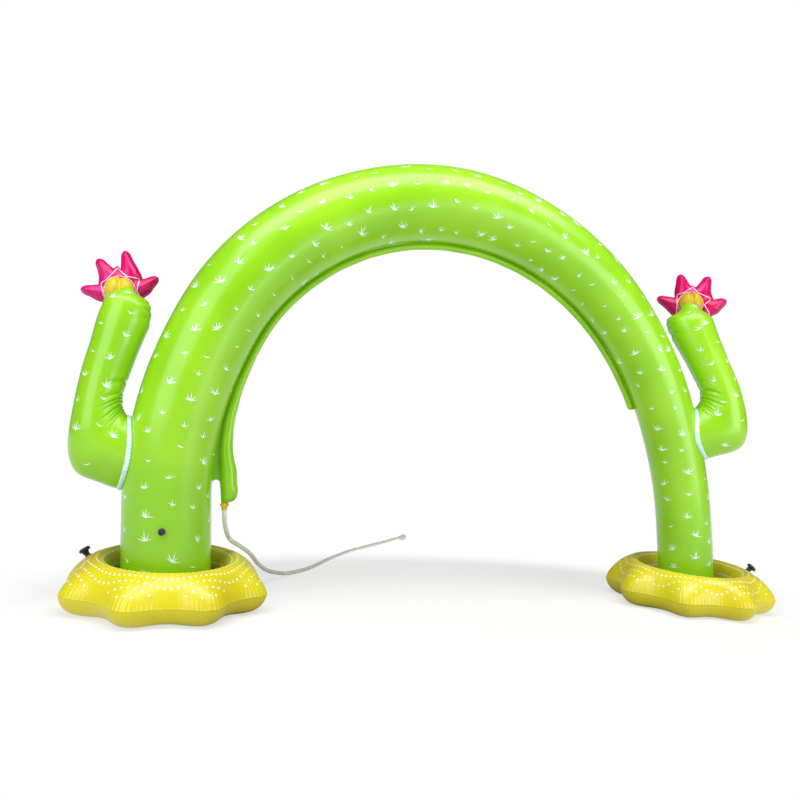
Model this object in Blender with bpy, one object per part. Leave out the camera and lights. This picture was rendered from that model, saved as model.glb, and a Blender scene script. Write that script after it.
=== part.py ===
"""Inflatable sprinkler arch shaped like a cactus: solids at real size.

One big PVC tube bends from foot to foot. Each foot stands in the hole of an eight-lobed base ring.
A bent arm with a flower on its tip is welded to each leg, and a small spray tube hangs along the
arch's inner side and ends at the left in a hose adapter.

Metres, +Z up, origin on the floor under the middle of the arch's box, X along the span, -Y the front.
"""
import math

import bmesh
import bpy
import numpy as np
from mathutils import Matrix, Vector

# Sizes shared by several pieces.
SEAT_GAP = 0.0003            # clearance where two pieces touch
LEFT, RIGHT = -1, 1

# Arch tube: two short straight legs under a half-elliptic arc that leans a little to the left.
FOOT_SPAN = 2.274            # between the centres of the two feet
FEET_MIDDLE = 0.021          # X of the point midway between the feet
TOP_HEIGHT = 1.646           # tube axis at the crown
ARC_HALF_WIDTH = 1.133
ARC_RISE = 1.287
CROWN_LEAN = -0.121          # sideways lean of the crown, left is minus
LEG_FLARE = 1.5              # above 1 a leg's splay grows towards its foot
LEVEL_BELOW = 0.15           # length above each foot in which the sections turn level
TUBE_SIDES = 23
TUBE_STATIONS = 56
STATION_ROOM = 0.022         # even stations nearer than this to the spray strip's are left out
ARC_POINTS, LEG_POINTS = 240, 80
AXIS_STEP = 0.004            # half the stretch that the axis' direction is read from
# How far each leg sways from that line. Columns: height, the left leg's way along X, the right leg's.
SWAY = (
    (0.000, 0.000, 0.000),
    (0.250, 0.000, -0.004),
    (0.450, 0.000, -0.013),
    (0.640, 0.001, -0.018),
    (0.800, 0.001, -0.017),
    (0.980, 0.000, -0.008),
    (1.200, -0.008, 0.002),
    (1.420, -0.003, 0.011),
    (1.646, 0.010, 0.010),
)
# Columns: place along the tube from the left foot (0 to 1), radius, turn of the seam to the back.
TUBE_TABLE = (
    (0.00, 0.1580, 0.0),
    (0.12, 0.1580, 0.0),
    (0.30, 0.1580, 6.2),
    (0.50, 0.1545, 13.0),
    (0.70, 0.1310, 20.9),
    (0.82, 0.1205, 25.6),
    (0.88, 0.1185, 28.0),
    (1.00, 0.1185, 28.0),
)
# Rounded weld at each foot. Columns: height, how much smaller the radius is.
FOOT_ROUNDING = ((0.0, 0.012), (0.0035, 0.012), (0.009, 0.005), (0.019, 0.0015), (0.040, 0.0))

# Spray strip: the small tube and its welding flange on the arch's inner seam.
# Columns: length along the arch from the left foot, gap between the two tubes, small tube's radius.
SPRAY_TABLE = (
    (0.366, 0.036, 0.0120),
    (0.371, 0.035, 0.0205),
    (0.383, 0.034, 0.0275),
    (0.405, 0.033, 0.0315),
    (0.453, 0.029, 0.0320),
    (0.456, 0.029, 0.0320),
    (0.505, 0.025, 0.0310),
    (0.580, 0.013, 0.0265),
    (0.690, 0.005, 0.0215),
    (0.820, 0.004, 0.0175),
    (0.960, 0.004, 0.0145),
    (1.150, 0.004, 0.0130),
)
SPRAY_FREE_END = 0.4545      # below this length the flange stops and the tube hangs free
SPRAY_RIGHT_END = 0.940      # length along the arch from the right foot
SPRAY_END_ROUNDING = ((0.0, 0.55), (0.006, 0.85), (0.016, 1.0))
FLANGE_THICKNESS = 0.004
WIDEST_TAB = 0.95            # the flange is never wider than this share of the small tube's radius
HANGING_TAB = 1.02           # where the tube hangs free the tab ends this share of the radius out
SPRAY_SIDES = 11

# Arms. Rows run from inside the leg round the elbow to the tip, in the arm's own upright plane.
# Columns: inner edge (out from the arm's root, height), outer edge (out, height), half depth.
LEFT_ARM = (
    (0.090, 0.662, 0.100, 0.418, 0.086),
    (0.150, 0.678, 0.175, 0.419, 0.092),
    (0.165, 0.690, 0.242, 0.439, 0.096),
    (0.172, 0.702, 0.302, 0.463, 0.097),
    (0.176, 0.714, 0.334, 0.502, 0.096),
    (0.178, 0.729, 0.348, 0.560, 0.094),
    (0.179, 0.746, 0.348, 0.630, 0.091),
    (0.177, 0.770, 0.343, 0.700, 0.088),
    (0.165, 0.825, 0.331, 0.795, 0.086),
    (0.146, 0.895, 0.317, 0.880, 0.086),
    (0.125, 0.965, 0.301, 0.955, 0.086),
    (0.109, 1.020, 0.288, 1.030, 0.087),
    (0.106, 1.070, 0.275, 1.085, 0.083),
    (0.119, 1.105, 0.263, 1.114, 0.070),
    (0.160, 1.130, 0.240, 1.131, 0.045),
    (0.176, 1.144, 0.216, 1.144, 0.024),
)
RIGHT_ARM = (
    (0.012, 0.858, 0.052, 0.648, 0.084),
    (0.074, 0.874, 0.135, 0.662, 0.090),
    (0.090, 0.888, 0.202, 0.684, 0.094),
    (0.100, 0.902, 0.268, 0.711, 0.094),
    (0.107, 0.917, 0.303, 0.746, 0.092),
    (0.110, 0.932, 0.313, 0.800, 0.090),
    (0.110, 0.950, 0.307, 0.870, 0.088),
    (0.103, 0.980, 0.292, 0.935, 0.088),
    (0.080, 1.027, 0.266, 1.010, 0.088),
    (0.047, 1.087, 0.234, 1.083, 0.089),
    (0.010, 1.149, 0.204, 1.150, 0.090),
    (-0.026, 1.207, 0.177, 1.215, 0.091),
    (-0.049, 1.256, 0.157, 1.270, 0.090),
    (-0.050, 1.294, 0.138, 1.309, 0.078),
    (-0.002, 1.332, 0.094, 1.341, 0.051),
    (0.012, 1.361, 0.067, 1.364, 0.029),
)
ARM_TIP_RISE = 0.005         # the tip's pole above its last row
ARM_SIDES = 19
ARM_FORWARD_TURN = 28.0      # degrees that the right arm stands forward of the arch's plane
ARM_ROOTS = {LEFT: -1.1438, RIGHT: 1.0333}       # X that an arm's distances are measured from
CREASE_DEPTH = 0.0065        # folds at the inner side of the elbow
CREASE_FIRST, CREASE_LAST = 2.0, 8.0
CREASE_FLOOR = 0.4           # share of the depth that the first and last crease keep
PUCKER_DEPTH = 0.0035        # small folds under the tip
PUCKER_FIRST, PUCKER_LAST = 11.0, 14.0
CREASE_NARROWING, PUCKER_NARROWING = 2, 4    # powers that hold a fold to the inner side
CURVE_STEPS = 20             # steps between two rows of a table that is smoothed

# Collars: weld strips round the arms' roots.
COLLAR_WALL = 0.005
COLLAR_WIDTH = 0.016
COLLAR_FIRST, COLLAR_LAST = 0.0, 5.0     # arm stations on either side of the collar

# Base rings: eight lobes like noses round a smooth rim, low outside and high next to the hole.
RING_RADII = {LEFT: 0.373, RIGHT: 0.358}
LOBE_COUNT = 8
LOBE_DEPTH = 0.048           # how far the valleys lie inside the lobes' outer radius
LOBE_SHARPNESS = 1.3         # above 1 the lobes are narrow and the valleys wide
RING_HEIGHT = 0.177
RING_REAR_RISE = 0.010       # how much higher the crest stands at the back, and lower in front
SEAM_HEIGHT = 0.068          # the welded seam that bounds the lobes
CONTACT_INSET = 0.075        # from the seam in to the edge of what rests on the floor
CONTACT_LOBE_DEPTH = 0.004   # how much farther in that edge is under a valley
CREST_RADIUS = 0.250
HOLE_RADIUS = 0.200
HOLE_SIDE_HEIGHT = 0.075     # height of the inner wall's narrowest place
# How full the section is: 1 is an ellipse, more is nearer to a straight slope.
SLOPE_FULLNESS = 1.40        # from the crest out to the seam
UNDERSIDE_FULLNESS = 1.00
HOLE_FULLNESS = 0.85
SEGMENTS_PER_LOBE = 7
RING_PLACES = (-90, -58, -28, 0, 20, 38, 54, 70, 90, 120, 150, 180, 215)
FLOOR_PANEL = 0.003          # thickness of the panel that joins the ring to the foot
PANEL_LAP = 0.028            # how far the panel laps under the ring's inner skin
LOBE_PHASE = {LEFT: 25.0, RIGHT: 6.0}

# Flowers: six-petalled star pillows behind the arms' tips, as uneven as they hang. Directions in
# degrees, 0 to the picture's right and 90 up.
# Columns: direction of the valley before the petal, direction of its tip, the tip's distance.
PETALS = {
    LEFT: (
        (-22.6, 23.6, 0.135),
        (33.5, 90.2, 0.140),
        (106.2, 133.7, 0.134),
        (175.2, 188.5, 0.142),
        (228.4, 255.0, 0.132),
        (283.0, 309.0, 0.132),
    ),
    RIGHT: (
        (-28.3, 12.0, 0.150),
        (22.0, 64.8, 0.155),
        (93.7, 112.7, 0.159),
        (145.9, 168.0, 0.160),
        (213.9, 243.0, 0.145),
        (272.8, 302.0, 0.145),
    ),
}
VALLEY_RADIUS = {LEFT: 0.081, RIGHT: 0.096}
# Columns: share of the way from a petal's root to its tip, half width as a share of the valley radius.
PETAL_SHAPE = ((0.16, 0.36), (0.50, 0.25), (0.85, 0.16))
PETAL_ROOT_SHARE = 0.82      # a petal is never wider than this share of the space between its valleys
FLOWER_HALF_DEPTH = 0.033
FLOWER_SEAM = 0.0012         # half thickness of the pillow's rim
FLOWER_CROWN = 0.6           # below 1 the pillow is full near its rim
CROWN_SHARES = (0.40, 0.68, 0.88)
# Columns: out from the arm's root, height, behind the arm's plane.
FLOWER_PLACES = {LEFT: (0.225, 1.163, 0.104), RIGHT: (0.073, 1.379, 0.104)}
CENTRE_HALF_WIDTH = 0.052
CENTRE_HALF_DEPTH = 0.040
CENTRE_CLEFT = 0.006         # notch that parts the centre's two lobes
CLEFT_WIDTH = 0.22           # as a share of the half width
CLEFT_RISE = 0.5             # how much deeper the cleft is towards the top
CENTRE_SEGMENTS, CENTRE_RINGS = 16, 8
# Place of the centre pillow before the star: picture's right, up, forward.
CENTRE_PLACES = {LEFT: (-0.004, -0.016, 0.046), RIGHT: (-0.013, 0.005, 0.046)}

# Valves: height above the skin and radius, bottom to top. A ring's valve has a wide cap on a slim stem.
LEG_VALVE_BODY = ((0.0, 0.0125), (0.002, 0.0120), (0.0035, 0.0085), (0.012, 0.0080))
LEG_VALVE_CAP = ((0.0, 0.0090), (0.002, 0.0102), (0.007, 0.0100), (0.010, 0.0076))
RING_VALVE_BODY = ((0.0, 0.0120), (0.002, 0.0115), (0.004, 0.0085), (0.013, 0.0095), (0.020, 0.0130))
RING_VALVE_CAP = ((0.0, 0.0180), (0.002, 0.0205), (0.009, 0.0200), (0.013, 0.0140))
VALVE_SIDES = 12
LEG_VALVE_HEIGHT = 0.291
LEG_VALVE_EDGE = 17          # which of the tube's edges it sits on, counted from the seam
# Columns: segments round the ring from its first lobe, place on the section (one of RING_PLACES).
RING_VALVES = {LEFT: (21, 54), RIGHT: (-4, 70)}

# Hose, its adapter and its far coupling.
HOSE_RADIUS = 0.0085
HOSE_POINT_SPACING = 0.040
# Columns: distance below the spray tube's end, radius.
ADAPTER_PROFILE = ((0.0, 0.0140), (0.004, 0.0160), (0.011, 0.0160), (0.014, 0.0120), (0.024, 0.0112),
                   (0.026, 0.0095))
# The hose's route from the adapter over the left ring's shoulder and away behind the arch.
HOSE_ROUTE = (
    (-0.9316, 0.0000, 0.3530),
    (-0.9294, 0.0000, 0.3225),
    (-0.9200, 0.0110, 0.2790),
    (-0.8990, 0.0460, 0.2340),
    (-0.8540, 0.1130, 0.1960),
    (-0.8080, 0.1720, 0.1560),
    (-0.7680, 0.2320, 0.1050),
    (-0.7260, 0.3010, 0.0650),
    (-0.6730, 0.3850, 0.0350),
    (-0.6010, 0.4740, 0.0150),
    (-0.4840, 0.6180, 0.0090),
    (-0.3450, 0.8480, 0.0088),
    (-0.1930, 1.0650, 0.0088),
    (-0.0340, 1.2480, 0.0088),
    (0.1060, 1.3930, 0.0110),
    (0.1760, 1.4590, 0.0165),
    (0.2210, 1.4990, 0.0165),
)
# Columns: distance from the hose's end or the nut's own end, radius.
TAIL_PROFILE = ((0.0, 0.0125), (0.018, 0.0140), (0.020, 0.0105), (0.046, 0.0105))
NUT_PROFILE = ((0.0, 0.0155), (0.003, 0.0165), (0.021, 0.0165), (0.024, 0.0155))
NUT_START = 0.0215
NUT_BORE = 0.0109
COUPLING_SIDES = 16


# ---- meshes and objects

def plastic(name, colour, roughness, alpha=1.0):
    """A Principled material of one colour."""
    material = bpy.data.materials.new(name)
    material.use_nodes = True
    shader = material.node_tree.nodes["Principled BSDF"]
    shader.inputs["Base Color"].default_value = (*colour, 1.0)
    shader.inputs["Roughness"].default_value = roughness
    shader.inputs["Metallic"].default_value = 0.0
    shader.inputs["Alpha"].default_value = alpha
    return material


def add_object(name, bm, material, matrix=None):
    """Put a bmesh into a new smooth-shaded object, with its faces pointing out."""
    bmesh.ops.recalc_face_normals(bm, faces=bm.faces)
    mesh = bpy.data.meshes.new(name)
    bm.to_mesh(mesh)
    bm.free()
    mesh.shade_smooth()
    mesh.set_sharp_from_angle(angle=math.radians(40))
    obj = bpy.data.objects.new(name, mesh)
    bpy.context.collection.objects.link(obj)
    if matrix is not None:
        obj.matrix_world = matrix
    if material is None:
        obj.hide_render = True
        obj.display_type = "WIRE"
    else:
        mesh.materials.append(material)
    return obj


def loft(rings, start_pole=None, end_pole=None):
    """Skin a stack of closed rings. An end is a fan to its pole, or one flat face.

    The skin is triangles that split every quad the same way, so that a grown copy stays outside.
    """
    bm = bmesh.new()
    rows = [[bm.verts.new(Vector(point)) for point in ring] for ring in rings]
    count = len(rows[0])
    for lower, upper in zip(rows, rows[1:]):
        for i in range(count):
            j = (i + 1) % count
            bm.faces.new((lower[i], lower[j], upper[j]))
            bm.faces.new((lower[i], upper[j], upper[i]))
    for row, pole in ((rows[0], start_pole), (rows[-1], end_pole)):
        if pole is None:
            bm.faces.new(row)
            continue
        tip = bm.verts.new(Vector(pole))
        for i in range(count):
            bm.faces.new((row[i], row[(i + 1) % count], tip))
    return bm


def torus_loft(rings):
    """Skin closed rings that follow each other round a closed path."""
    bm = bmesh.new()
    rows = [[bm.verts.new(Vector(point)) for point in ring] for ring in rings]
    count = len(rows[0])
    for lower, upper in zip(rows, rows[1:] + rows[:1]):
        for i in range(count):
            j = (i + 1) % count
            bm.faces.new((lower[i], lower[j], upper[j], upper[i]))
    return bm


def carve(obj, cutters, operation="DIFFERENCE"):
    """Press an object against its neighbours by cutting their slightly larger copies out of it."""
    for cutter in cutters:
        boolean = obj.modifiers.new(cutter.name, "BOOLEAN")
        boolean.operation = operation
        boolean.solver = "EXACT"
        boolean.object = cutter


def turned(profile, sides):
    """A turned solid about +Z from rows of height and radius, closed by flat ends."""
    angles = np.linspace(0, 2 * math.pi, sides, endpoint=False)
    return loft([[(radius * math.cos(a), radius * math.sin(a), height) for a in angles]
                 for height, radius in profile])


def turned_sleeve(outer, bore, sides):
    """A turned solid about +Z with a plain through bore."""
    section = [(outer[0][0], bore), *outer, (outer[-1][0], bore)]
    angles = np.linspace(0, 2 * math.pi, sides, endpoint=False)
    return torus_loft([[(r * math.cos(a), r * math.sin(a), h) for h, r in section] for a in angles])


def smooth_rows(rows, steps):
    """Catmull-Rom rows through the rows of a table, with the given steps in each interval."""
    rows = np.array(rows, float)
    padded = np.vstack([2 * rows[0] - rows[1], rows, 2 * rows[-1] - rows[-2]])
    result = []
    for i in range(len(rows) - 1):
        a, b, c, d = padded[i:i + 4]
        for t in np.arange(steps) / steps:
            result.append(0.5 * (2 * b + (c - a) * t + (2 * a - 5 * b + 4 * c - d) * t ** 2
                                 + (3 * b - a - 3 * c + d) * t ** 3))
    result.append(rows[-1])
    return np.array(result)


# ---- arch tube

def dense_axis():
    """Points down the tube's axis from the left foot over the crown to the right foot."""
    spring_line = TOP_HEIGHT - ARC_RISE
    angle = np.linspace(0, math.pi / 2, ARC_POINTS)
    arc = np.column_stack([ARC_HALF_WIDTH * np.sin(angle), spring_line + ARC_RISE * np.cos(angle)])
    drop = np.linspace(0, 1, LEG_POINTS)[1:]
    splay = FOOT_SPAN / 2 - ARC_HALF_WIDTH
    leg = np.column_stack([ARC_HALF_WIDTH + splay * drop ** LEG_FLARE, spring_line * (1 - drop)])
    right = np.vstack([arc, leg])
    left = right[:0:-1] * (-1, 1)
    path = np.vstack([left, right])
    path[:, 0] += FEET_MIDDLE + CROWN_LEAN * path[:, 1] / TOP_HEIGHT
    height, left_sway, right_sway = smooth_rows(SWAY, CURVE_STEPS).T
    side_sway = np.where(np.arange(len(path)) < len(left), np.interp(path[:, 1], height, left_sway),
                         np.interp(path[:, 1], height, right_sway))
    path[:, 0] += side_sway
    return path


AXIS = dense_axis()
AXIS_LENGTHS = np.concatenate([[0], np.cumsum(np.linalg.norm(np.diff(AXIS, axis=0), axis=1))])
TUBE_LENGTH = AXIS_LENGTHS[-1]


def foot_x(side):
    return FEET_MIDDLE + side * FOOT_SPAN / 2


def tube_frame(length):
    """Centre, seam direction, side direction and radius of the arch tube at a length from the left foot."""
    centre = np.array([np.interp(length, AXIS_LENGTHS, AXIS[:, k]) for k in (0, 1)])
    ends = np.clip([length - AXIS_STEP, length + AXIS_STEP], 0, TUBE_LENGTH)
    before, after = [np.array([np.interp(e, AXIS_LENGTHS, AXIS[:, k]) for k in (0, 1)]) for e in ends]
    along = (after - before) / np.linalg.norm(after - before)
    upright = np.array([0, 1 if length < TUBE_LENGTH / 2 else -1])
    from_foot = min(length, TUBE_LENGTH - length)
    level = max(0.0, 1 - from_foot / LEVEL_BELOW)
    along = along * (1 - level) + upright * level
    along /= np.linalg.norm(along)
    inward = np.array([along[1], 0, -along[0]])
    back = np.array([0, 1.0, 0])
    places, radii, turns = np.array(TUBE_TABLE).T
    turn = math.radians(np.interp(length / TUBE_LENGTH, places, turns))
    seam = math.cos(turn) * inward + math.sin(turn) * back
    side = -math.sin(turn) * inward + math.cos(turn) * back
    radius = np.interp(length / TUBE_LENGTH, places, radii)
    return np.array([centre[0], 0, centre[1]]), seam, side, radius


def spray_lengths():
    """Lengths at which the spray strip has a section of its own, for the arch tube to share."""
    right_end = TUBE_LENGTH - SPRAY_RIGHT_END
    bound = [row[0] for row in SPRAY_TABLE if row[0] > SPRAY_FREE_END]
    return bound + [right_end - back for back, _ in SPRAY_END_ROUNDING]


def tube_lengths():
    """Lengths from the left foot at which the arch tube has a section."""
    rounding = [height for height, _ in FOOT_ROUNDING]
    even = np.linspace(rounding[-1], TUBE_LENGTH - rounding[-1], TUBE_STATIONS)
    shared = np.array(spray_lengths())
    even = [e for e in even if np.abs(shared - e).min() > STATION_ROOM]
    return sorted(set(rounding) | set(even) | set(shared) | {TUBE_LENGTH - r for r in rounding})


def tube_section(length, growth=0.0):
    """One ring of the arch tube. Its first point lies on the seam."""
    centre, seam, side, radius = tube_frame(length)
    from_foot = min(length, TUBE_LENGTH - length)
    heights, cuts = np.array(FOOT_ROUNDING).T
    radius += growth - np.interp(from_foot, heights, cuts)
    angles = np.linspace(0, 2 * math.pi, TUBE_SIDES, endpoint=False)
    return [centre + radius * (math.cos(a) * seam + math.sin(a) * side) for a in angles]


def arch_mesh(growth=0.0):
    """The whole tube, or a copy that is larger all round."""
    return loft([tube_section(length, growth) for length in tube_lengths()])


# ---- spray strip

def spray_section(length, gap, radius, flange):
    """The small tube's circle with the flange's tab that reaches the big tube's seam."""
    centre, seam, side, big_radius = tube_frame(length)
    half_tab = FLANGE_THICKNESS / 2
    spread = math.asin(min(WIDEST_TAB, half_tab / radius))
    angles = np.linspace(math.pi + spread, 3 * math.pi - spread, SPRAY_SIDES)
    middle = big_radius + gap + radius
    points = [(middle + radius * math.cos(a), radius * math.sin(a)) for a in angles]
    tab_foot = big_radius + SEAT_GAP if flange else middle - radius * HANGING_TAB
    points += [(tab_foot, half_tab), (tab_foot, -half_tab)]
    return [centre + out * seam + across * side for out, across in points]


def spray_mesh():
    """Sections from the hanging end to the blunt right end."""
    table = np.array(SPRAY_TABLE)
    right_end = TUBE_LENGTH - SPRAY_RIGHT_END
    free = [row[0] for row in SPRAY_TABLE if row[0] < SPRAY_FREE_END]
    bound = [s for s in tube_lengths() if SPRAY_FREE_END < s <= right_end + 1e-9]
    ends, shares = np.array(SPRAY_END_ROUNDING).T
    rings = []
    for length in free + bound:
        gap = np.interp(length, table[:, 0], table[:, 1])
        radius = np.interp(length, table[:, 0], table[:, 2])
        radius *= np.interp(right_end - length, ends, shares)
        rings.append(spray_section(length, gap, radius, length > SPRAY_FREE_END))
    return loft(rings)


def spray_end():
    """Centre of the spray tube's hanging end and the direction that it faces."""
    length, gap, radius = SPRAY_TABLE[0]
    centre, seam, side, big_radius = tube_frame(length)
    return centre + (big_radius + gap + radius) * seam, -np.cross(seam, side)


# ---- arms and collars

class Arm:
    """The upright plane that an arm lies in, and its skin."""

    def __init__(self, side, table):
        turn = math.radians(ARM_FORWARD_TURN) if side == RIGHT else 0.0
        self.root = np.array([ARM_ROOTS[side], 0, 0])
        self.out = np.array([side * math.cos(turn), -math.sin(turn), 0])
        self.back = np.array([math.sin(turn) * side, math.cos(turn), 0])
        self.table = np.array(table)

    def place(self, out, height, back=0.0):
        """A point of the arm's plane in the part's frame."""
        return self.root + out * self.out + back * self.back + np.array([0, 0, height])

    def row(self, station):
        """Table row at a fractional station."""
        index = min(int(station), len(self.table) - 2)
        rows = smooth_rows(self.table[max(index - 1, 0):index + 3], CURVE_STEPS)
        step = (station - index + min(index, 1)) * CURVE_STEPS
        low = min(int(step), len(rows) - 2)
        return rows[low] + (rows[low + 1] - rows[low]) * (step - low)

    def fold(self, station, inner):
        """How deep the skin is drawn in at the elbow's creases and at the puckers under the tip."""
        if not math.isclose(station % 1, 0.5):
            return 0.0
        depth = 0.0
        if CREASE_FIRST < station < CREASE_LAST:
            fade = math.sin(math.pi * (station - CREASE_FIRST) / (CREASE_LAST - CREASE_FIRST))
            share = CREASE_FLOOR + (1 - CREASE_FLOOR) * fade
            depth += CREASE_DEPTH * share * max(0.0, inner) ** CREASE_NARROWING
        if PUCKER_FIRST < station < PUCKER_LAST:
            depth += PUCKER_DEPTH * max(0.0, inner) ** PUCKER_NARROWING
        return depth

    def skin_point(self, station, angle, growth=0.0):
        """A point on the arm's skin. Angle 0 is the inner edge and 90 degrees the back."""
        inner_out, inner_up, outer_out, outer_up, half_depth = self.row(station)
        middle = np.array([inner_out + outer_out, inner_up + outer_up]) / 2
        reach = np.array([inner_out - outer_out, inner_up - outer_up]) / 2
        half_width = np.linalg.norm(reach)
        inner = math.cos(angle)
        width = half_width + growth - self.fold(station, inner)
        flat = middle + reach / half_width * width * inner
        return self.place(flat[0], flat[1], (half_depth + growth) * math.sin(angle))

    def rings(self, first, last, growth):
        """Rings at every half station from first to last."""
        stations = np.arange(first, last + 0.25, 0.5)
        angles = np.linspace(0, 2 * math.pi, ARM_SIDES, endpoint=False)
        return [[self.skin_point(station, angle, growth) for angle in angles] for station in stations]

    def mesh(self, growth=0.0):
        """The whole arm, closed flat inside the leg and by a pole at the tip."""
        last = self.table[-1]
        tip = self.place((last[0] + last[2]) / 2, (last[1] + last[3]) / 2 + ARM_TIP_RISE + growth)
        return loft(self.rings(0, len(self.table) - 1, growth), end_pole=tip)

    def collar_mesh(self):
        """The arm's root, thicker by the strip's wall, for the collar to be cut from."""
        rings = self.rings(COLLAR_FIRST, COLLAR_LAST, COLLAR_WALL)
        return loft(rings, end_pole=np.mean(rings[-1], axis=0))


# ---- base rings

def ring_section_point(side, angle, place):
    """Radius and height on the section: 90 is the crest, 0 the seam, -90 underneath, 180 in the hole."""
    lobe = (0.5 + 0.5 * math.cos(LOBE_COUNT * (angle - math.radians(LOBE_PHASE[side])))) ** LOBE_SHARPNESS
    outer = RING_RADII[side] - LOBE_DEPTH * (1 - lobe)
    crest = RING_HEIGHT + RING_REAR_RISE * math.sin(angle)
    fullness = HOLE_FULLNESS if place > 90 else SLOPE_FULLNESS if place >= 0 else UNDERSIDE_FULLNESS
    across, up = math.cos(math.radians(place)), math.sin(math.radians(place))
    across = math.copysign(abs(across) ** fullness, across)
    up = math.copysign(abs(up) ** fullness, up)
    if place > 90:
        inner = CREST_RADIUS + (CREST_RADIUS - HOLE_RADIUS) * across
        return inner, HOLE_SIDE_HEIGHT + (crest - HOLE_SIDE_HEIGHT) * up
    if place >= 0:
        return CREST_RADIUS + (outer - CREST_RADIUS) * across, SEAM_HEIGHT + (crest - SEAM_HEIGHT) * up
    contact = outer - CONTACT_INSET - CONTACT_LOBE_DEPTH * (1 - lobe)
    return contact + (outer - contact) * across, SEAM_HEIGHT * (1 + up)


def ring_skin(side, angle, place):
    """A point on a base ring's skin, in the part's frame."""
    radius, height = ring_section_point(side, angle, place)
    return np.array([foot_x(side) + radius * math.cos(angle), radius * math.sin(angle), height])


def ring_mesh(side):
    """A lobed ring whose underside goes on as a thin floor panel to the leg's foot."""
    segments = LOBE_COUNT * SEGMENTS_PER_LOBE
    foot_radius = (TUBE_TABLE[0] if side == LEFT else TUBE_TABLE[-1])[1] - FOOT_ROUNDING[0][1]
    panel_hole = (foot_radius + 2 * SEAT_GAP) / math.cos(math.pi / segments)
    panel_edge = HOLE_RADIUS + PANEL_LAP
    rings = []
    for turn in np.linspace(0, 2 * math.pi, segments, endpoint=False):
        angle = math.radians(LOBE_PHASE[side]) + turn
        section = [(panel_hole, 0.0)]
        section += [ring_section_point(side, angle, place) for place in RING_PLACES]
        section += [(panel_edge, FLOOR_PANEL), (panel_hole, FLOOR_PANEL)]
        rings.append([(foot_x(side) + r * math.cos(angle), r * math.sin(angle), z) for r, z in section])
    return torus_loft(rings)


# ---- flowers

def polar(degrees, distance):
    angle = math.radians(degrees)
    return distance * np.array([math.cos(angle), math.sin(angle)])


def star_outline(side):
    """Points round the star: each petal runs from its valley along one edge, over its tip and back."""
    rows = PETALS[side]
    valley = VALLEY_RADIUS[side]
    points = []
    for row, following in zip(rows, rows[1:] + rows[:1]):
        start, end, tip = polar(row[0], valley), polar(following[0], valley), polar(row[1], row[2])
        root = (start + end) / 2
        along = tip - root
        across = np.array([-along[1], along[0]]) / np.linalg.norm(along)
        widest = PETAL_ROOT_SHARE * np.linalg.norm(end - start) / 2
        edge = [(share * along, min(half * valley, widest) * across) for share, half in PETAL_SHAPE]
        points.append(start)
        points += [root + forward - aside for forward, aside in edge]
        points.append(tip)
        points += [root + forward + aside for forward, aside in reversed(edge)]
    return points


def flower_place(arm, side):
    """Matrix whose +Z faces the front of the flower and whose +X points to the picture's right."""
    facing = -arm.back
    across = np.cross([0, 0, 1], facing)
    matrix = Matrix((across, (0, 0, 1), facing)).transposed().to_4x4()
    matrix.translation = Vector(arm.place(*FLOWER_PLACES[side]))
    return matrix


def flower_mesh(side, growth=0.0):
    """A pillow: two crowned faces that meet in the seam round the star."""
    outline = star_outline(side)
    rings = []
    for face, shares in ((-1, CROWN_SHARES), (1, CROWN_SHARES[::-1])):
        crown = []
        for share in shares:
            depth = FLOWER_HALF_DEPTH * (1 - share ** 2) ** FLOWER_CROWN + growth
            crown.append([(*(share * point), face * depth) for point in outline])
        rim = [(*(point * (1 + growth / np.linalg.norm(point))), face * FLOWER_SEAM) for point in outline]
        rings += crown + [rim] if face < 0 else [rim] + crown
    pole = FLOWER_HALF_DEPTH + growth
    return loft(rings, start_pole=(0, 0, -pole), end_pole=(0, 0, pole))


def centre_mesh():
    """The flower's middle: a rounded pillow with a shallow cleft down its front."""
    bm = bmesh.new()
    bmesh.ops.create_uvsphere(bm, u_segments=CENTRE_SEGMENTS, v_segments=CENTRE_RINGS, radius=1.0)
    for vert in bm.verts:
        x, y, z = vert.co
        cleft = CENTRE_CLEFT * math.exp(-(x / CLEFT_WIDTH) ** 2) * max(0.0, z + y * CLEFT_RISE)
        size = CENTRE_HALF_WIDTH - cleft
        vert.co = Vector((x * CENTRE_HALF_WIDTH, y * size, z * CENTRE_HALF_DEPTH - cleft))
    return bm


# ---- valves, hose and couplings

def stand_on(point, normal):
    """Matrix that stands a turned piece on a skin, with its +Z along the skin's normal."""
    normal = Vector(normal / np.linalg.norm(normal))
    matrix = normal.to_track_quat("Z", "Y").to_matrix().to_4x4()
    matrix.translation = Vector(point) + normal * SEAT_GAP
    return matrix


def add_valve(name, body, cap, point, normal, material):
    """A valve body on the skin and its cap on top."""
    seat = stand_on(point, normal)
    add_object("valve_" + name, turned(body, VALVE_SIDES), material, seat)
    lift = Matrix.Translation((0, 0, body[-1][0] + SEAT_GAP))
    add_object("valve_cap_" + name, turned(cap, VALVE_SIDES), material, seat @ lift)


def leg_valve_seat():
    """Point and outward normal on one of the arch tube's edges, at the front of the left leg."""
    left_half = len(AXIS) // 2
    length = np.interp(LEG_VALVE_HEIGHT, AXIS[:left_half, 1], AXIS_LENGTHS[:left_half])
    centre, seam, side, radius = tube_frame(length)
    turn = 2 * math.pi * LEG_VALVE_EDGE / TUBE_SIDES
    outward = math.cos(turn) * seam + math.sin(turn) * side
    return centre + radius * outward, outward


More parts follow.
